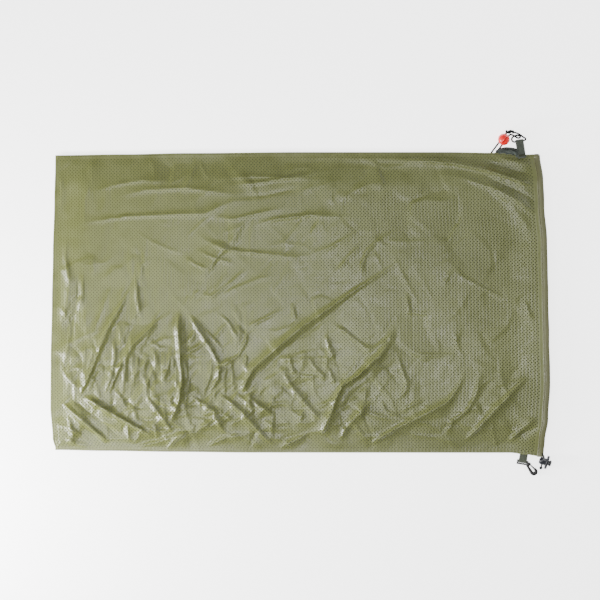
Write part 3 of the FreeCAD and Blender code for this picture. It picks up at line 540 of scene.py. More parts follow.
def cloth_material(name, dark, mid, light, rib=0.35, rough=0.38):
    m = Mat(name)
    co = m.n("ShaderNodeTexCoord").outputs["Object"]
    big = m.n("ShaderNodeTexNoise", Scale=3.2, Detail=3.0, Roughness=0.55)
    m.l(co, big.inputs["Vector"])
    mid_n = m.n("ShaderNodeTexNoise", Scale=42.0, Detail=4.0, Roughness=0.6)
    m.l(co, mid_n.inputs["Vector"])
    fine = m.n("ShaderNodeTexNoise", Scale=900.0, Detail=2.0, Roughness=0.6)
    m.l(co, fine.inputs["Vector"])
    s = m.math("ADD", m.math("MULTIPLY", big.outputs["Fac"], 0.6), m.math("MULTIPLY", mid_n.outputs["Fac"], 0.4))
    col = m.ramp(s, [(0.30, dark), (0.50, mid), (0.70, light)])
    # vertical ribs of the knit, one to a column of holes
    cell = m.n("ShaderNodeAttribute", attribute_name="cell")
    sep = m.n("ShaderNodeSeparateXYZ")
    m.l(cell.outputs["Vector"], sep.inputs[0])
    wave = m.math("COSINE", m.math("MULTIPLY", sep.outputs[0], math.pi))
    wave_y = m.math("COSINE", m.math("MULTIPLY", sep.outputs[1], math.pi))
    web = m.math("MULTIPLY", wave, wave_y)
    shade = m.math("ADD", m.math("MULTIPLY", wave, 0.06), m.math("MULTIPLY", fine.outputs["Fac"], 0.12))
    col2 = m.mix(m.math("ADD", shade, 0.08), col, dark)
    m.l(col2, m.b.inputs["Base Color"])
    h = m.math("ADD", m.math("MULTIPLY", wave, rib), m.math("MULTIPLY", web, -0.5 * rib))
    h = m.math("ADD", h, m.math("MULTIPLY", fine.outputs["Fac"], 0.25))
    bp = m.bump(h, 0.30, 0.0006)
    m.l(bp.outputs["Normal"], m.b.inputs["Normal"])
    rg = m.ramp(mid_n.outputs["Fac"], [(0.3, (rough - 0.07,) * 3), (0.7, (rough + 0.10,) * 3)])
    m.l(rg, m.b.inputs["Roughness"])
    m.set(Specular_IOR_Level=0.62, Coat_Weight=0.0)
    return m.m


def webbing_material(name, dark, light, axis):
    """Woven webbing: fine ribs along it and a cross weave.  axis = (x, y) along."""
    m = Mat(name)
    co = m.n("ShaderNodeTexCoord").outputs["Object"]
    mp = m.n("ShaderNodeMapping")
    mp.inputs["Rotation"].default_value = (0, 0, -math.atan2(axis[1], axis[0]))
    m.l(co, mp.inputs["Vector"])
    w1 = m.n("ShaderNodeTexWave", bands_direction="X", Scale=270.0, Distortion=0.6, Detail=1.0)
    w2 = m.n("ShaderNodeTexWave", bands_direction="Y", Scale=190.0, Distortion=0.6, Detail=1.0)
    m.l(mp.outputs[0], w1.inputs["Vector"])
    m.l(mp.outputs[0], w2.inputs["Vector"])
    nz = m.n("ShaderNodeTexNoise", Scale=160.0, Detail=3.0)
    m.l(co, nz.inputs["Vector"])
    h = m.math("MULTIPLY", w1.outputs["Fac"], w2.outputs["Fac"])
    col = m.ramp(m.math("ADD", m.math("MULTIPLY", h, 0.6), m.math("MULTIPLY", nz.outputs["Fac"], 0.5)),
                 [(0.15, dark), (0.75, light)])
    m.l(col, m.b.inputs["Base Color"])
    bp = m.bump(h, 0.7, 0.0004)
    m.l(bp.outputs["Normal"], m.b.inputs["Normal"])
    m.set(Roughness=0.72, Specular_IOR_Level=0.3, Sheen_Weight=0.25, Sheen_Roughness=0.5)
    return m.m


def cord_material(name, dark, light, scale=520.0):
    m = Mat(name)
    co = m.n("ShaderNodeTexCoord").outputs["Object"]
    v1 = m.n("ShaderNodeTexVoronoi", Scale=scale, feature="F1")
    m.l(co, v1.inputs["Vector"])
    nz = m.n("ShaderNodeTexNoise", Scale=240.0, Detail=2.0)
    m.l(co, nz.inputs["Vector"])
    f = m.math("ADD", m.math("MULTIPLY", v1.outputs["Distance"], 0.8), m.math("MULTIPLY", nz.outputs["Fac"], 0.35))
    col = m.ramp(f, [(0.2, light), (0.8, dark)])
    m.l(col, m.b.inputs["Base Color"])
    bp = m.bump(v1.outputs["Distance"], -0.8, 0.0004)
    m.l(bp.outputs["Normal"], m.b.inputs["Normal"])
    m.set(Roughness=0.70, Specular_IOR_Level=0.20, Sheen_Weight=0.0)
    return m.m


def plastic_material(name, col, col2, rough, bump=0.12, coat=0.0, grain=700.0):
    m = Mat(name)
    co = m.n("ShaderNodeTexCoord").outputs["Object"]
    nz = m.n("ShaderNodeTexNoise", Scale=60.0, Detail=3.0)
    m.l(co, nz.inputs["Vector"])
    gr = m.n("ShaderNodeTexNoise", Scale=grain, Detail=2.0)
    m.l(co, gr.inputs["Vector"])
    c = m.ramp(nz.outputs["Fac"], [(0.3, col), (0.7, col2)])
    m.l(c, m.b.inputs["Base Color"])
    r = m.ramp(nz.outputs["Fac"], [(0.25, (rough - 0.05,) * 3), (0.75, (rough + 0.08,) * 3)])
    m.l(r, m.b.inputs["Roughness"])
    bp = m.bump(gr.outputs["Fac"], bump, 0.0002)
    m.l(bp.outputs["Normal"], m.b.inputs["Normal"])
    m.set(Specular_IOR_Level=0.5, Coat_Weight=coat, Coat_Roughness=0.15)
    return m.m


OLIVE_D, OLIVE_M, OLIVE_L = (0.080, 0.088, 0.019), (0.106, 0.118, 0.030), (0.134, 0.148, 0.044)
M_CLOTH = cloth_material("perforated_coated_cloth", OLIVE_D, OLIVE_M, OLIVE_L)
# the back sheet is the same cloth as the front, given colours about a third as bright: painted shade for the dim cloth
# seen through the front's holes
M_BACK_PAINTED_SHADE = cloth_material("perforated_coated_cloth_back_painted_shade", (0.022, 0.023, 0.007), (0.032, 0.034, 0.010), (0.042, 0.044, 0.014))
M_CASING = cloth_material("casing_cloth", (0.066, 0.067, 0.020), (0.086, 0.088, 0.029), (0.108, 0.110, 0.040), rib=0.2, rough=0.48)
M_WEB_U = webbing_material("webbing_weave_upper", (0.026, 0.032, 0.024), (0.072, 0.084, 0.064), (-0.148, 0.989))
M_WEB_L = webbing_material("webbing_weave_lower", (0.036, 0.042, 0.028), (0.094, 0.106, 0.076), (-0.172, -0.985))
# the crumpled strap is the same webbing as the upper loop, given darker colours: painted shade where it lies tucked
# against the cloth's edge
M_WEB_G_PAINTED_SHADE = webbing_material("webbing_weave_crumpled_painted_shade", (0.012, 0.018, 0.014), (0.060, 0.076, 0.064), (0.9, 0.3))
M_CORD = cord_material("braided_cord", (0.0015, 0.002, 0.002), (0.010, 0.012, 0.012))
# the knots are the same braided cord as the lines, given lighter teal colours: painted highlight
M_KNOT_PAINTED_HIGHLIGHT = cord_material("braided_cord_knot_painted_highlight", (0.0015, 0.003, 0.003), (0.010, 0.020, 0.019), 430.0)
M_THREAD = cord_material("sewing_thread", (0.020, 0.021, 0.008), (0.050, 0.052, 0.022), 1500.0)
M_BLACK = plastic_material("moulded_black_plastic", (0.0012, 0.0012, 0.0014), (0.003, 0.003, 0.0035), 0.34)
# the lock's black plastic is tinted blue in its colour, a painted blue sheen; its clear coat adds a real sheen as well
M_LOCK_PAINTED_SHEEN = plastic_material("moulded_lock_plastic_painted_sheen", (0.003, 0.004, 0.006), (0.007, 0.010, 0.018), 0.28, coat=0.3)


def red_material():
    m = Mat("translucent_red_plastic")
    co = m.n("ShaderNodeTexCoord").outputs["Object"]
    nz = m.n("ShaderNodeTexNoise", Scale=95.0, Detail=3.0)
    m.l(co, nz.inputs["Vector"])
    c = m.ramp(nz.outputs["Fac"], [(0.25, (0.66, 0.001, 0.001)), (0.75, (0.82, 0.004, 0.002))])
    m.l(c, m.b.inputs["Base Color"])
    m.set(Roughness=0.36, Specular_IOR_Level=0.45, Coat_Weight=0.15, Coat_Roughness=0.25,
          Subsurface_Weight=0.35, Subsurface_Scale=0.006)
    m.b.inputs["Subsurface Radius"].default_value = (1.0, 0.2, 0.12)
    return m.m


def steel_material():
    m = Mat("spring_wire")
    co = m.n("ShaderNodeTexCoord").outputs["Object"]
    nz = m.n("ShaderNodeTexNoise", Scale=900.0, Detail=2.0)
    m.l(co, nz.inputs["Vector"])
    c = m.ramp(nz.outputs["Fac"], [(0.3, (0.42, 0.42, 0.43)), (0.7, (0.62, 0.62, 0.64))])
    m.l(c, m.b.inputs["Base Color"])
    m.set(Metallic=1.0, Roughness=0.32)
    return m.m


M_RED = red_material()
M_STEEL = steel_material()


def give(obj, mat):
    obj.data.materials.clear()
    obj.data.materials.append(mat)
    return obj


def node_obj(name):
    return frame["nodes"][name] if not isinstance(frame["nodes"][name], str) else bpy.data.objects[frame["nodes"][name]]


# ---------------------------------------------------------------- cords
def on_frame(o, xd, yd, w, t):
    return (o[0] + xd[0] * w + yd[0] * t, o[1] + xd[1] * w + yd[1] * t)


BALL = np.array([415.3, 332.4, 13.2])
TILT, HEAD = math.radians(11.6), math.radians(53.5)
CORD_D = np.array([math.cos(TILT) * math.cos(HEAD), math.cos(TILT) * math.sin(HEAD), math.sin(TILT)])
SIDE_D = np.array([-math.sin(HEAD), math.cos(HEAD), 0.0])
BORE = BALL - np.array([0, 0, 2.8])


def on_line(which, t):
    return tuple(BORE + SIDE_D * 4.0 * which + CORD_D * t)


STRAP_O = np.array([453.0, 294.8])
SY = np.array([-0.148, 0.989]) / math.hypot(0.148, 0.989)
SX = np.array([SY[1], -SY[0]])
EYE_Y, EYE_Z = 34.8, 5.2


def loop_pt(w, y, z):
    p = STRAP_O + SX * w + SY * y
    return (p[0], p[1], z)


TETHER = [
    on_line(1, -37.0), on_line(1, -12.0), on_line(1, 15.2),
    (427.6, 348.4, 11.6), (435.4, 347.6, 9.8), (442.8, 345.4, 9.3), (449.4, 342.2, 9.0),
    (454.6, 337.8, 8.0), (460.8, 335.0, 6.2), loop_pt(12.6, EYE_Y + 0.4, EYE_Z),
    loop_pt(5.6, EYE_Y, EYE_Z), loop_pt(-5.0, EYE_Y, EYE_Z), loop_pt(-12.0, EYE_Y - 0.4, EYE_Z - 0.3),
    (431.6, 331.6, 4.2), (433.2, 337.2, 3.6), (438.6, 340.6, 3.2), (444.8, 341.6, 4.2),
    (450.0, 339.4, 3.0), (449.6, 336.6, 1.9), (444.8, 335.6, 1.9), (439.4, 338.6, 6.6), (434.2, 341.6, 7.2),
    on_line(-1, 16.4), on_line(-1, 9.0), on_line(-1, -14.0), on_line(-1, -24.0), (398.6, 303.6, 2.8),
]
tether = give(nurbs("tether_line", TETHER, 3.4), M_CORD)
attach(tether, "sack")
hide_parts("tether_cord")

LOCK = np.array([501.8, -325.6, 8.6])
E1 = np.array([0.951, -0.309, 0.0])
E2 = np.array([0.309, 0.951, 0.0])
SLOT_AT = -6.6


def lock_pt(a, b, dz):
    return tuple(LOCK + E1 * a + E2 * b + np.array([0, 0, dz]))


def casing_mid(y):
    return float(right_x(y)) - CAS / 2.0


def casing_z(y):
    e = min(301.5 - y, y + 312.0)
    return Z_SEAM + 9.0 * float(rise(np.array(e))) + 2.15


ZF, ZB = 1.8, -1.8
front_run = [(casing_mid(y) + k, y, casing_z(y)) for y, k in
             ((-309, 2.7), (-297, 1.6), (-282, 0.6), (-266, 0.1), (-250, 0), (-222, 0), (-175, 0),
              (-115, 0), (-50, 0), (15, 0), (78, 0), (135, 0), (182, 0), (216, 0), (238, 0),
              (254, 0), (270, 0), (283, 0), (293, 0))]
back_run = [(casing_mid(y) + k, y, 2.1) for y, k in
            ((292, 0), (280, 0.15), (262, 0), (230, 0.15), (185, 0), (125, 0.15), (60, 0), (-5, 0.15),
             (-70, 0), (-135, 0.15), (-190, 0), (-235, 0), (-268, 0.2), (-292, 1.0), (-307, 2.5))]
DRAW = ([lock_pt(SLOT_AT, -14.3, ZF - 0.3), lock_pt(SLOT_AT, -3.5, ZF), lock_pt(SLOT_AT, 3.2, ZF), lock_pt(SLOT_AT, 9.4, ZF)]
        + front_run
        + [(casing_mid(300), 299.6, casing_z(299) - 0.3), (casing_mid(300), 299.4, 2.3)]
        + back_run
        + [lock_pt(SLOT_AT, 9.6, ZB), lock_pt(SLOT_AT, 3.0, ZB), lock_pt(SLOT_AT, -3.7, ZB), lock_pt(SLOT_AT, -14.3, ZB + 0.3)])
drawcord = give(nurbs("drawcord_line", DRAW, 2.8), M_CORD)
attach(drawcord, "sack")
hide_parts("drawcord")

# ---------------------------------------------------------------- cloth panels
NX, NY = 282, 172
front = give(perforated("front_cloth", NX, NY, 0.43, front_z), M_CLOTH)
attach(front, "sack")
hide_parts("front_panel")
# the back sheet wears the darkened copy of the cloth: painted shade
back = give(perforated("back_cloth", NX, NY, 0.22, back_z, flip=True, odd=1), M_BACK_PAINTED_SHADE)
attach(back, "sack")
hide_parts("back_panel")


# ---------------------------------------------------------------- swept sections
def ring_mesh(name, rings, closed_ring=True, caps=True):
    verts, faces = [], []
    n = len(rings[0])
    for r in rings:
        verts.extend([tuple(c * K for c in p) for p in r])
    for a in range(len(rings) - 1):
        for k in range(n if closed_ring else n - 1):
            b = (k + 1) % n
            faces.append((a * n + k, a * n + b, (a + 1) * n + b, (a + 1) * n + k))
    if caps:
        faces.append(tuple(reversed(range(n))))
        faces.append(tuple((len(rings) - 1) * n + k for k in range(n)))
    ob = mesh_obj(name, verts, faces)
    bm = bmesh.new()
    bm.from_mesh(ob.data)
    bmesh.ops.recalc_face_normals(bm, faces=bm.faces)
    bm.to_mesh(ob.data)
    bm.free()
    return ob


def casing_sleeve(name, zmid, top):
    """Folded cloth sleeve at the mouth: flattened, puckered at its seam."""
    rings = []
    ys = np.arange(-315.0, 298.0, 1.75)
    for k, y in enumerate(ys):
        cx = casing_mid(float(y))
        zc = zmid(float(y))
        puck = 0.25 * math.sin(y / 3.1) + 0.2 * math.sin(y / 7.7 + 1)
        ring = []
        for a in range(20):
            t = 2 * math.pi * a / 20
            ca, sa = math.cos(t), math.sin(t)
            px = 6.4 * (abs(ca) ** 0.72) * (1 if ca >= 0 else -1)
            pz = 1.95 * (abs(sa) ** 0.8) * (1 if sa >= 0 else -1)
            if ca < -0.4:
                pz *= 0.72
                pz += 0.12 * puck * (1 if sa >= 0 else -1)
            pz *= 1 + 0.10 * math.sin(y / 19.0 + a * 0.2) + 0.05 * puck
            px += 0.15 * math.sin(y / 11.0) * (1 if ca > 0 else 0)
            z = zc + pz
            if not top:
                z = max(z, 0.05)
            ring.append((cx + px, float(y), z))
        rings.append(ring)
    ob = ring_mesh(name, rings, caps=False)
    me = ob.data
    at = me.attributes.new("cell", "FLOAT_VECTOR", "POINT")
    co = np.empty(len(me.vertices) * 3)
    me.vertices.foreach_get("co", co)
    co = co.reshape(-1, 3)
    vec = np.stack([co[:, 0] / 0.00352, co[:, 1] / 0.00357, co[:, 2] * 0], axis=1)
    at.data.foreach_set("vector", vec.ravel())
    return ob


fc = give(casing_sleeve("front_casing_sleeve", casing_z, True), M_CASING)
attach(fc, "sack")
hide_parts("front_casing")
bc = give(casing_sleeve("back_casing_sleeve", lambda y: 2.1, False), M_CASING)
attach(bc, "sack")
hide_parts("back_casing")


def corner_cap(name, c, r, body="sack"):
    """The closed, folded corner of the mouth's sleeve round the cord's turn."""
    rings = []
    for a in np.linspace(-0.5 * math.pi, 0.5 * math.pi, 17):
        ring = []
        for b in range(24):
            t = 2 * math.pi * b / 24
            ca, sa = math.cos(a), math.sin(a)
            px = math.copysign(abs(math.cos(t)) ** 0.6, math.cos(t)) * max(abs(ca), 0.02) ** 0.6
            pz = math.copysign(abs(math.sin(t)) ** 0.7, math.sin(t)) * max(abs(ca), 0.02) ** 0.6
            py = math.copysign(abs(sa) ** 0.7, sa)
            k = 1 + 0.04 * math.sin(3 * t + 5 * a)
            ring.append((c[0] + r[0] * px * k - 0.10 * r[1] * py, c[1] + r[1] * py, max(c[2] + r[2] * pz * k, 0.1)))
        rings.append(ring)
    ob = give(ring_mesh(name, rings), M_CASING)
    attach(ob, body)
    return ob


corner_cap("upper_mouth_corner", (casing_mid(297) + 0.1, 297.2, 4.7), (6.6, 6.3, 4.3))


# ---------------------------------------------------------------- stitches
def stitches(name, pts, pitch=3.6, length=2.7, dia=0.75, lift=0.1, zig=0.0):
    """Separate stitches along a polyline, each a short thread that dips at both ends."""
    p = np.array(pts, float)
    seg = np.linalg.norm(np.diff(p, axis=0), axis=1)
    run = np.concatenate([[0], np.cumsum(seg)])
    total = run[-1]
    verts, faces = [], []
    n = int(total // pitch)
    for k in range(n):
        s0 = k * pitch + 0.4
        ring_pts = []
        for q in range(5):
            s = s0 + length * q / 4.0
            c = [np.interp(s, run, p[:, a]) for a in range(3)]
            ring_pts.append(np.array(c))
        d = ring_pts[-1] - ring_pts[0]
        d = d / (np.linalg.norm(d) + 1e-9)
        side = np.array([-d[1], d[0], 0.0])
        side = side / (np.linalg.norm(side) + 1e-9)
        up = np.cross(d, side)
        if up[2] < 0:
            up = -up
        off = zig * (1 if k % 2 else -1)
        base = len(verts)
        for q, c in enumerate(ring_pts):
            t = q / 4.0
            hump = math.sin(math.pi * t)
            c = c + up * (lift + 0.28 * hump - 0.18) + side * off * (2 * t - 1)
            r = dia / 2.0 * (0.55 + 0.45 * hump)
            for a in range(6):
                ang = 2 * math.pi * a / 6
                v = c + side * r * math.cos(ang) + up * r * math.sin(ang)
                verts.append(tuple(v * K))
        for q in range(4):
            for a in range(6):
                b = (a + 1) % 6
                faces.append((base + q * 6 + a, base + q * 6 + b, base + (q + 1) * 6 + b, base + (q + 1) * 6 + a))
        faces.append(tuple(base + a for a in reversed(range(6))))
        faces.append(tuple(base + 24 + a for a in range(6)))
    return give(mesh_obj(name, verts, faces), M_THREAD)


def top_line(xs_, ys_, zf, up):
    x, y = np.array(xs_, float), np.array(ys_, float)
    return list(zip(x, y, zf(x, y) + up))


ys = np.linspace(-306, 297, 160)
st = stitches("front_casing_stitches", [(float(right_x(y)) - CAS + 1.5, float(y), casing_z(float(y)) + 1.32) for y in ys])
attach(st, "sack")
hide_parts("front_casing_thread")
st = stitches("back_casing_stitches", [(float(right_x(y)) - CAS - 1.2, float(y), 1.2) for y in ys])
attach(st, "sack")
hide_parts("back_casing_thread")
xs = np.linspace(-494, 482, 240)
st = stitches("upper_seam_stitches", top_line(xs, top_y(xs) - 3.6, front_z, 0.15))
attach(st, "sack")
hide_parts("upper_seam_thread")
st = stitches("lower_seam_stitches", top_line(xs, bottom_y(xs) + 3.6, front_z, 0.15))
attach(st, "sack")
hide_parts("lower_seam_thread")
ys2 = np.linspace(-294, 292, 160)
st = stitches("base_seam_stitches", top_line(left_x(ys2) + 3.6, ys2, front_z, 0.15))
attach(st, "sack")
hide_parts("base_seam_thread")


# rolled seam allowances, seen through the holes and at the edges
def seam_roll(name, line, inward, node):
    rings = []
    for (x, y), (nx_, ny_) in zip(line, inward):
        ring = []
        w = 8.2
        for a in range(12):
            t = 2 * math.pi * a / 12
            px = w / 2 * (abs(math.cos(t)) ** 0.7) * (1 if math.cos(t) >= 0 else -1)
            pz = 1.62 * (abs(math.sin(t)) ** 0.8) * (1 if math.sin(t) >= 0 else -1)
            s = w / 2 + 0.7 + px
            ring.append((x + nx_ * s, y + ny_ * s, 2.75 + pz + 0.08 * math.sin((x + y) / 5.0)))
        rings.append(ring)
    ob = give(ring_mesh(name, rings), M_CASING)
    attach(ob, "sack")
    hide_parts(node)
    return ob


xs = np.linspace(-488, 468, 220)
seam_roll("upper_seam_roll", [(float(x), float(top_y(x))) for x in xs], [(0, -1)] * len(xs), "upper_side_seam")
seam_roll("lower_seam_roll", [(float(x), float(bottom_y(x))) for x in xs], [(0, 1)] * len(xs), "lower_side_seam")
ysb = np.linspace(-296, 295, 140)
seam_roll("base_seam_roll", [(float(left_x(y)), float(y)) for y in ysb], [(1, 0)] * len(ysb), "base_seam")


# ---------------------------------------------------------------- webbing
def band(name, centre, half, thick, to_world, mat, node, n_w=9, edge=0.35, wave=0.0):
    """A flat band swept along a side profile: centre = [(t, z)], half width, thickness."""
    c = np.array(centre, float)
    rings = []
    m = len(c)
    for k in range(m):
        d = c[min(k + 1, m - 1)] - c[max(k - 1, 0)]
        d = d / np.linalg.norm(d)
        nrm = np.array([-d[1], d[0]])
        ring = []
        prof = []
        hw = half[k] if isinstance(half, (list, tuple, np.ndarray)) else half
        for q in range(n_w):
            w = -hw + 2 * hw * q / (n_w - 1)
            ed = 1 - edge * (abs(w) / hw) ** 8
            prof.append((w, thick / 2 * ed))
        for w, h in prof:
            p = c[k] + nrm * (h + wave * math.sin(k * 0.5 + w * 0.35))
            ring.append(to_world(w, p[0], p[1]))
        for w, h in reversed(prof):
            p = c[k] - nrm * (h - wave * math.sin(k * 0.5 + w * 0.35))
            ring.append(to_world(w, p[0], p[1]))
        rings.append(ring)
    ob = give(ring_mesh(name, rings), mat)
    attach(ob, "sack")
    if node:
        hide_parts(node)
    return ob


def arc_pts(cy, cz, r, a0, a1, n):
    return [(cy + r * math.cos(a0 + (a1 - a0) * k / n), cz + r * math.sin(a0 + (a1 - a0) * k / n)) for k in range(n + 1)]


def to_strap(w, t, z):
    p = STRAP_O + SX * w + SY * t
    return (p[0], p[1], z)


RM = 2.3 + 0.75
ZB0 = Z_SEAM + 1.0 + 1.25
upper_prof = ([(-0.3, ZB0 + 2.25)] + [(t, ZB0 + 2.25 + 0.0 * t) for t in (4, 8, 12, 16)]
              + [(20.5, 9.0), (25.0, 8.9), (29.5, 8.6)]
              + arc_pts(EYE_Y, EYE_Z, RM, math.radians(105), math.radians(-105), 14)
              + [(29.0, 3.2), (25.0, 4.6), (21.0, 6.0)]
              + [(t, ZB0 + 0.75) for t in (16, 12, 8, 4)] + [(-0.3, ZB0 + 0.75)])
band("upper_strap", upper_prof, 8.2, 1.42, to_strap, M_WEB_U, "upper_webbing_loop", n_w=13, wave=0.12)

TAB_O = np.array([457.6, -307.0])
TY = np.array([-0.172, -0.985]) / math.hypot(0.172, 0.985)
TX = np.array([TY[1], -TY[0]])


def to_tab(w, t, z):
    p = TAB_O + TX * w + TY * t
    return (p[0], p[1], z)


RT = 1.9 + 0.75
lower_prof = ([(-5.8, 3.55), (-2.0, 3.55), (2.0, 3.6), (6.0, 3.9), (9.5, 4.9), (13.0, 6.2)]
              + arc_pts(17.4, 3.9, RT, math.radians(112), math.radians(-112), 14)
              + [(13.0, 1.5), (9.5, 1.55), (6.0, 1.85), (2.0, 2.05), (-2.0, 2.05), (-5.8, 2.05)])
band("lower_tab", lower_prof, 8.2, 1.42, to_tab, M_WEB_L, "lower_webbing_tab", n_w=13, wave=0.10)


def ribbon(name, centre, sides, half, thick, mat, node=None):
    """A band along a 3-D line with a stated direction across it at each point."""
    c = np.array(centre, float)
    s = np.array(sides, float)
    # resample
    t = np.linspace(0, 1, len(c))
    tt = np.linspace(0, 1, 70)

    def res(a):
        out = np.stack([np.interp(tt, t, a[:, k]) for k in range(3)], axis=1)
        ker = np.array([1, 2, 3, 4, 3, 2, 1], float)
        ker /= ker.sum()
        pad = np.concatenate([np.repeat(out[:1], 3, 0), out, np.repeat(out[-1:], 3, 0)])
        return np.stack([np.convolve(pad[:, k], ker, mode="valid") for k in range(3)], axis=1)

    c, s = res(c), res(s)
    rings = []
    for k in range(len(c)):
        d = c[min(k + 1, len(c) - 1)] - c[max(k - 1, 0)]
        d /= np.linalg.norm(d) + 1e-9
        sd = s[k] - d * (s[k] @ d)
        sd /= np.linalg.norm(sd) + 1e-9
        nr = np.cross(d, sd)
        ring = []
        us = np.linspace(-1, 1, 9)
        for u in us:
            curl = 0.9 * math.sin(k * 0.21 + u * 2.1) * 0.5
            ring.append(tuple(c[k] + sd * half * u + nr * (thick / 2 * (1 - 0.3 * abs(u) ** 8) + curl)))
        for u in us[::-1]:
            curl = 0.9 * math.sin(k * 0.21 + u * 2.1) * 0.5
            ring.append(tuple(c[k] + sd * half * u + nr * (-thick / 2 * (1 - 0.3 * abs(u) ** 8) + curl)))
        rings.append([(p[0], p[1], max(p[2], 0.25)) for p in ring])
    ob = give(ring_mesh(name, rings), mat)
    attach(ob, "sack")
    if node:
        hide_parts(node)
    return ob


# the crumpled strap's darker webbing colours are painted shade
ribbon("gathered_strap_outer",
       [(402, 303.4, 3.2), (407, 306.0, 3.6), (413, 308.4, 4.0), (420, 309.8, 4.2), (428, 310.2, 4.4), (436, 308.4, 4.4), (442, 305.4, 5.2), (447, 301.6, 7.6)],
       [(-0.3, 0.9, 0.3), (-0.3, 0.9, 0.2), (-0.2, 0.95, 0.25), (0.1, 0.97, -0.2), (0.25, 0.9, -0.35), (0.5, 0.8, -0.2), (0.6, 0.75, 0.1), (0.8, 0.55, 0.1)],
       7.6, 1.4, M_WEB_G_PAINTED_SHADE, "gathered_webbing")
ribbon("gathered_strap_fold",
       [(404, 305.5, 6.2), (410, 308.2, 7.4), (416, 309.6, 7.6), (423, 311.0, 7.0), (430, 310.4, 7.4), (437, 308.0, 8.0), (444, 303.6, 9.4)],
       [(-0.4, 0.7, 0.6), (-0.5, 0.75, 0.4), (0.1, 0.6, 0.8), (0.5, 0.7, 0.5), (-0.3, 0.85, 0.4), (0.5, 0.7, 0.4), (0.7, 0.6, 0.2)],
       4.4, 1.3, M_WEB_G_PAINTED_SHADE)
ribbon("gathered_strap_tuck",
       [(408, 306.0, 9.0), (415, 307.2, 9.4), (422, 308.4, 9.2), (429, 307.8, 9.6), (436, 305.6, 10.0), (442, 302.6, 10.6)],
       [(-0.6, 0.5, 0.6), (0.2, 0.8, 0.5), (0.6, 0.6, 0.5), (-0.3, 0.8, 0.5), (0.4, 0.7, 0.5), (0.7, 0.6, 0.2)],
       3.0, 1.2, M_WEB_G_PAINTED_SHADE)


# bar tacks
def zigzag(name, o, xd, yd, w, t0, t1, z, node, rows=1):
    pts = []
    n = int(w / 1.1)
    for r in range(rows):
        for k in range(n + 1):
            u = -w / 2 + w * k / n
            v = (t0 if (k % 2 == 0) else t1)
            p = o + xd * u + yd * v
            pts.append((p[0], p[1], z))
    ob = stitches(name, pts, pitch=max(abs(t1 - t0), 1.2) + 0.05, length=max(abs(t1 - t0), 1.2), dia=0.7, lift=0.15)
    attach(ob, "sack")
    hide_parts(node)


zigzag("upper_loop_tack", STRAP_O, SX, SY, 12.4, 2.4, 8.2, ZB0 + 3.0, "upper_loop_bartack")
zigzag("lower_tab_tack", TAB_O, TX, TY, 12.4, 2.7, 4.2, 4.3, "lower_tab_bartack")


# ---------------------------------------------------------------- knots
def knot(name, centre, ax, rad, turns, strand, length, body, node, mat, lobes=3, phase=0.0):
    """A tight knot: strands wound round one another, closed on themselves."""
    ax = np.array(ax, float)
    ax /= np.linalg.norm(ax)
    u = np.cross(ax, [0, 0, 1.0])
    u /= np.linalg.norm(u)
    w = np.cross(ax, u)
    centre = np.array(centre, float)
    verts, faces = [], []
    n, m = 120, 10
    pts = []
    for k in range(n):
        t = 2 * math.pi * k / n
        along = length / 2 * math.sin(t + 0.3 * math.sin(2 * t))
        a = turns * t + phase
        rr = rad * (0.62 + 0.38 * math.cos(t) ** 2)
        pts.append(centre + ax * along + u * rr * math.cos(a) + w * rr * 0.9 * math.sin(a))
    pts = np.array(pts)
    for k in range(n):
        d = pts[(k + 1) % n] - pts[(k - 1) % n]
        d /= np.linalg.norm(d)
        s = np.cross(d, [0.3, 0.2, 0.93])
        s /= np.linalg.norm(s)
        q = np.cross(d, s)
        for a in range(m):
            an = 2 * math.pi * a / m
            v = pts[k] + s * strand / 2 * math.cos(an) + q * strand / 2 * math.sin(an)
            verts.append(tuple(v * K))
    for k in range(n):
        b = (k + 1) % n
        for a in range(m):
            c = (a + 1) % m
            faces.append((k * m + a, k * m + c, b * m + c, b * m + a))
    ob = give(mesh_obj(name, verts, faces), mat)
    bm = bmesh.new()
    bm.from_mesh(ob.data)
    bmesh.ops.recalc_face_normals(bm, faces=bm.faces)
    bm.to_mesh(ob.data)
    bm.free()
    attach(ob, body)
    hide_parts(node)
    return ob


# both knots wear the lighter teal copy of the cord: painted highlight
tether_turns = knot("tether_knot_turns", (427.6, 348.0, 11.2), (1.0, -0.06, -0.16), 2.7, 3, 3.2, 14.5, "sack", "tether_knot", M_KNOT_PAINTED_HIGHLIGHT, phase=0.6)
knot("drawcord_knot_turns", lock_pt(SLOT_AT, -14.3, 0.0), (0, 0.15, 1.0), 2.2, 2, 2.9, 7.0, "sack", "drawcord_end_knot", M_KNOT_PAINTED_HIGHLIGHT)


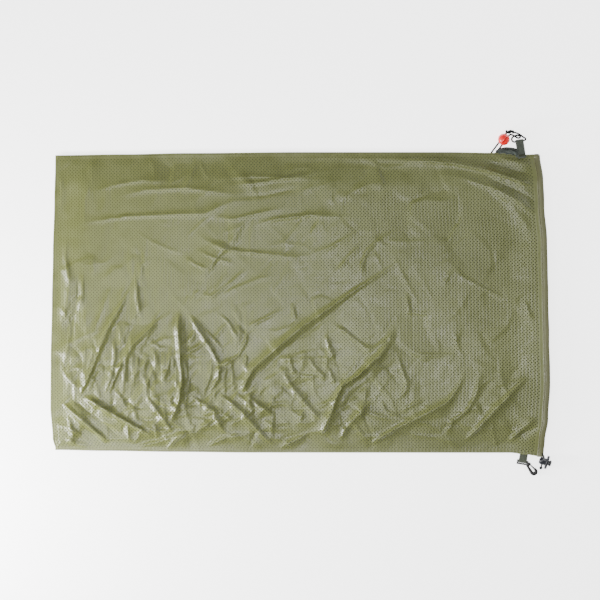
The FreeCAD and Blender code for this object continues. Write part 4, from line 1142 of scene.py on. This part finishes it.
# ---------------------------------------------------------------- moulded parts with rounded edges
def rounded(node, name, body, mat, width, segs=3, angle=28, fatten=0.0):
    src = node_obj(node)
    me = src.data.copy()
    me.name = name
    ob = link(bpy.data.objects.new(name, me))
    ob.matrix_world = src.matrix_world.copy()
    for tag in ("custom_normal", "sharp_edge", "sharp_face"):
        if tag in me.attributes:
            me.attributes.remove(me.attributes[tag])
    bm = bmesh.new()
    bm.from_mesh(me)
    bmesh.ops.remove_doubles(bm, verts=bm.verts, dist=1e-6)
    bmesh.ops.dissolve_limit(bm, angle_limit=math.radians(0.6), verts=bm.verts, edges=bm.edges)
    bmesh.ops.triangulate(bm, faces=[f for f in bm.faces if len(f.verts) > 4])
    bmesh.ops.recalc_face_normals(bm, faces=bm.faces)
    if fatten:
        bm.normal_update()
        for v in bm.verts:
            v.co += Vector((v.normal.x, v.normal.y, 0.4 * v.normal.z)) * fatten * K * 1.3
            v.co.z = max(v.co.z, 0.0002)
    bm.to_mesh(me)
    bm.free()
    md = ob.modifiers.new("soft_edges", "BEVEL")
    md.width = width * K
    md.segments = segs
    md.limit_method = "ANGLE"
    md.angle_limit = math.radians(angle)
    md.use_clamp_overlap = True
    dg = bpy.context.evaluated_depsgraph_get()
    new = bpy.data.meshes.new_from_object(ob.evaluated_get(dg))
    ob.modifiers.clear()
    ob.data = new
    new.polygons.foreach_set("use_smooth", [True] * len(new.polygons))
    new.set_sharp_from_angle(angle=math.radians(32))
    give(ob, mat)
    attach(ob, body)
    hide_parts(node)
    return ob


rounded("snap_hook_body", "hook_moulding", "snap_hook", M_BLACK, 0.45, fatten=0.7)
rounded("snap_hook_gate", "gate_moulding", "hook_gate", M_BLACK, 0.35)
# the lock's blue tint is painted sheen
rounded("drawcord_lock_barrel", "lock_barrel_moulding", "cord_lock", M_LOCK_PAINTED_SHEEN, 0.35, fatten=0.6)
rounded("drawcord_lock_button", "lock_button_moulding", "lock_button", M_LOCK_PAINTED_SHEEN, 0.35, fatten=0.4)
rounded("ball_lock_shell", "ball_shell_moulding", "ball_lock", M_RED, 0.3)
rounded("ball_lock_cap", "ball_cap_moulding", "ball_cap", M_RED, 0.3)


def sprung(node, name, body, axis):
    """A steel coil copied from its CAD part; it is not made to shorten."""
    src = node_obj(node)
    me = src.data.copy()
    me.name = name
    ob = link(bpy.data.objects.new(name, me))
    ob.matrix_world = src.matrix_world.copy()
    give(ob, M_STEEL)
    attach(ob, body)
    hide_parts(node)
    a = np.array(axis, float)
    a /= np.linalg.norm(a)
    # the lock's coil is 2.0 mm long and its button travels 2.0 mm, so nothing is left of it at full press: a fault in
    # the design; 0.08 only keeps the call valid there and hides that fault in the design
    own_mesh(ob)


sprung("ball_lock_spring", "ball_spring_coil", "ball_lock", (-0.8104850, 0.5447347, 0.2153559))
sprung("drawcord_lock_spring", "lock_spring_coil", "cord_lock", (-0.951, 0.309, 0.0))

# ---------------------------------------------------------------- floor and light
bpy.ops.mesh.primitive_plane_add(size=8.0, location=(0, 0, 0))
floor = bpy.context.object
floor.name = "floor"
fm = Mat("pale_floor")
fm.set(Emission_Color=(1, 1, 1, 1), Emission_Strength=2.8, Base_Color=(0.92, 0.92, 0.92, 1), Roughness=0.95, Specular_IOR_Level=0.05)
# the floor glows a little where the sack doesn't cover it
fc_ = fm.n("ShaderNodeTexCoord").outputs["Object"]
fsep = fm.n("ShaderNodeSeparateXYZ")
fm.l(fc_, fsep.inputs[0])
fx = fm.math("LESS_THAN", fm.math("ABSOLUTE", fm.math("ADD", fsep.outputs[0], 0.0075)), 0.4880)
fy = fm.math("LESS_THAN", fm.math("ABSOLUTE", fsep.outputs[1]), 0.2960)
fm.l(fm.math("MULTIPLY", fm.math("SUBTRACT", 1.0, fm.math("MULTIPLY", fx, fy)), 2.8), fm.b.inputs["Emission Strength"])
give(floor, fm.m)

world = bpy.data.worlds.new("soft_studio")
bpy.context.scene.world = world
world.use_nodes = True
world.node_tree.nodes["Background"].inputs[0].default_value = (1.0, 1.0, 1.0, 1)
world.node_tree.nodes["Background"].inputs[1].default_value = 0.58


def area(name, loc, target, size, power, size_y=None):
    ld = bpy.data.lights.new(name, "AREA")
    ld.energy = power
    ld.size = size
    if size_y:
        ld.shape = "RECTANGLE"
        ld.size_y = size_y
    ob = link(bpy.data.objects.new(name, ld))
    ob.location = loc
    d = Vector(target) - Vector(loc)
    ob.rotation_euler = d.to_track_quat("-Z", "Y").to_euler()
    return ob


area("key_left", (-1.42, -0.30, 0.36), (-0.05, -0.16, 0.0), 0.24, 40.0)
area("key_near", (-0.92, -0.50, 0.46), (-0.28, -0.16, 0.0), 0.20, 13.0)
area("sheen_left", (-0.50, -0.42, 0.95), (-0.36, -0.20, 0.0), 0.24, 4.6)
area("top_soft", (0.00, -0.20, 1.9), (0.0, -0.12, 0), 0.6, 15.0)
area("rim_right", (1.4, 1.0, 1.3), (0.3, 0.1, 0.0), 0.8, 9.0)
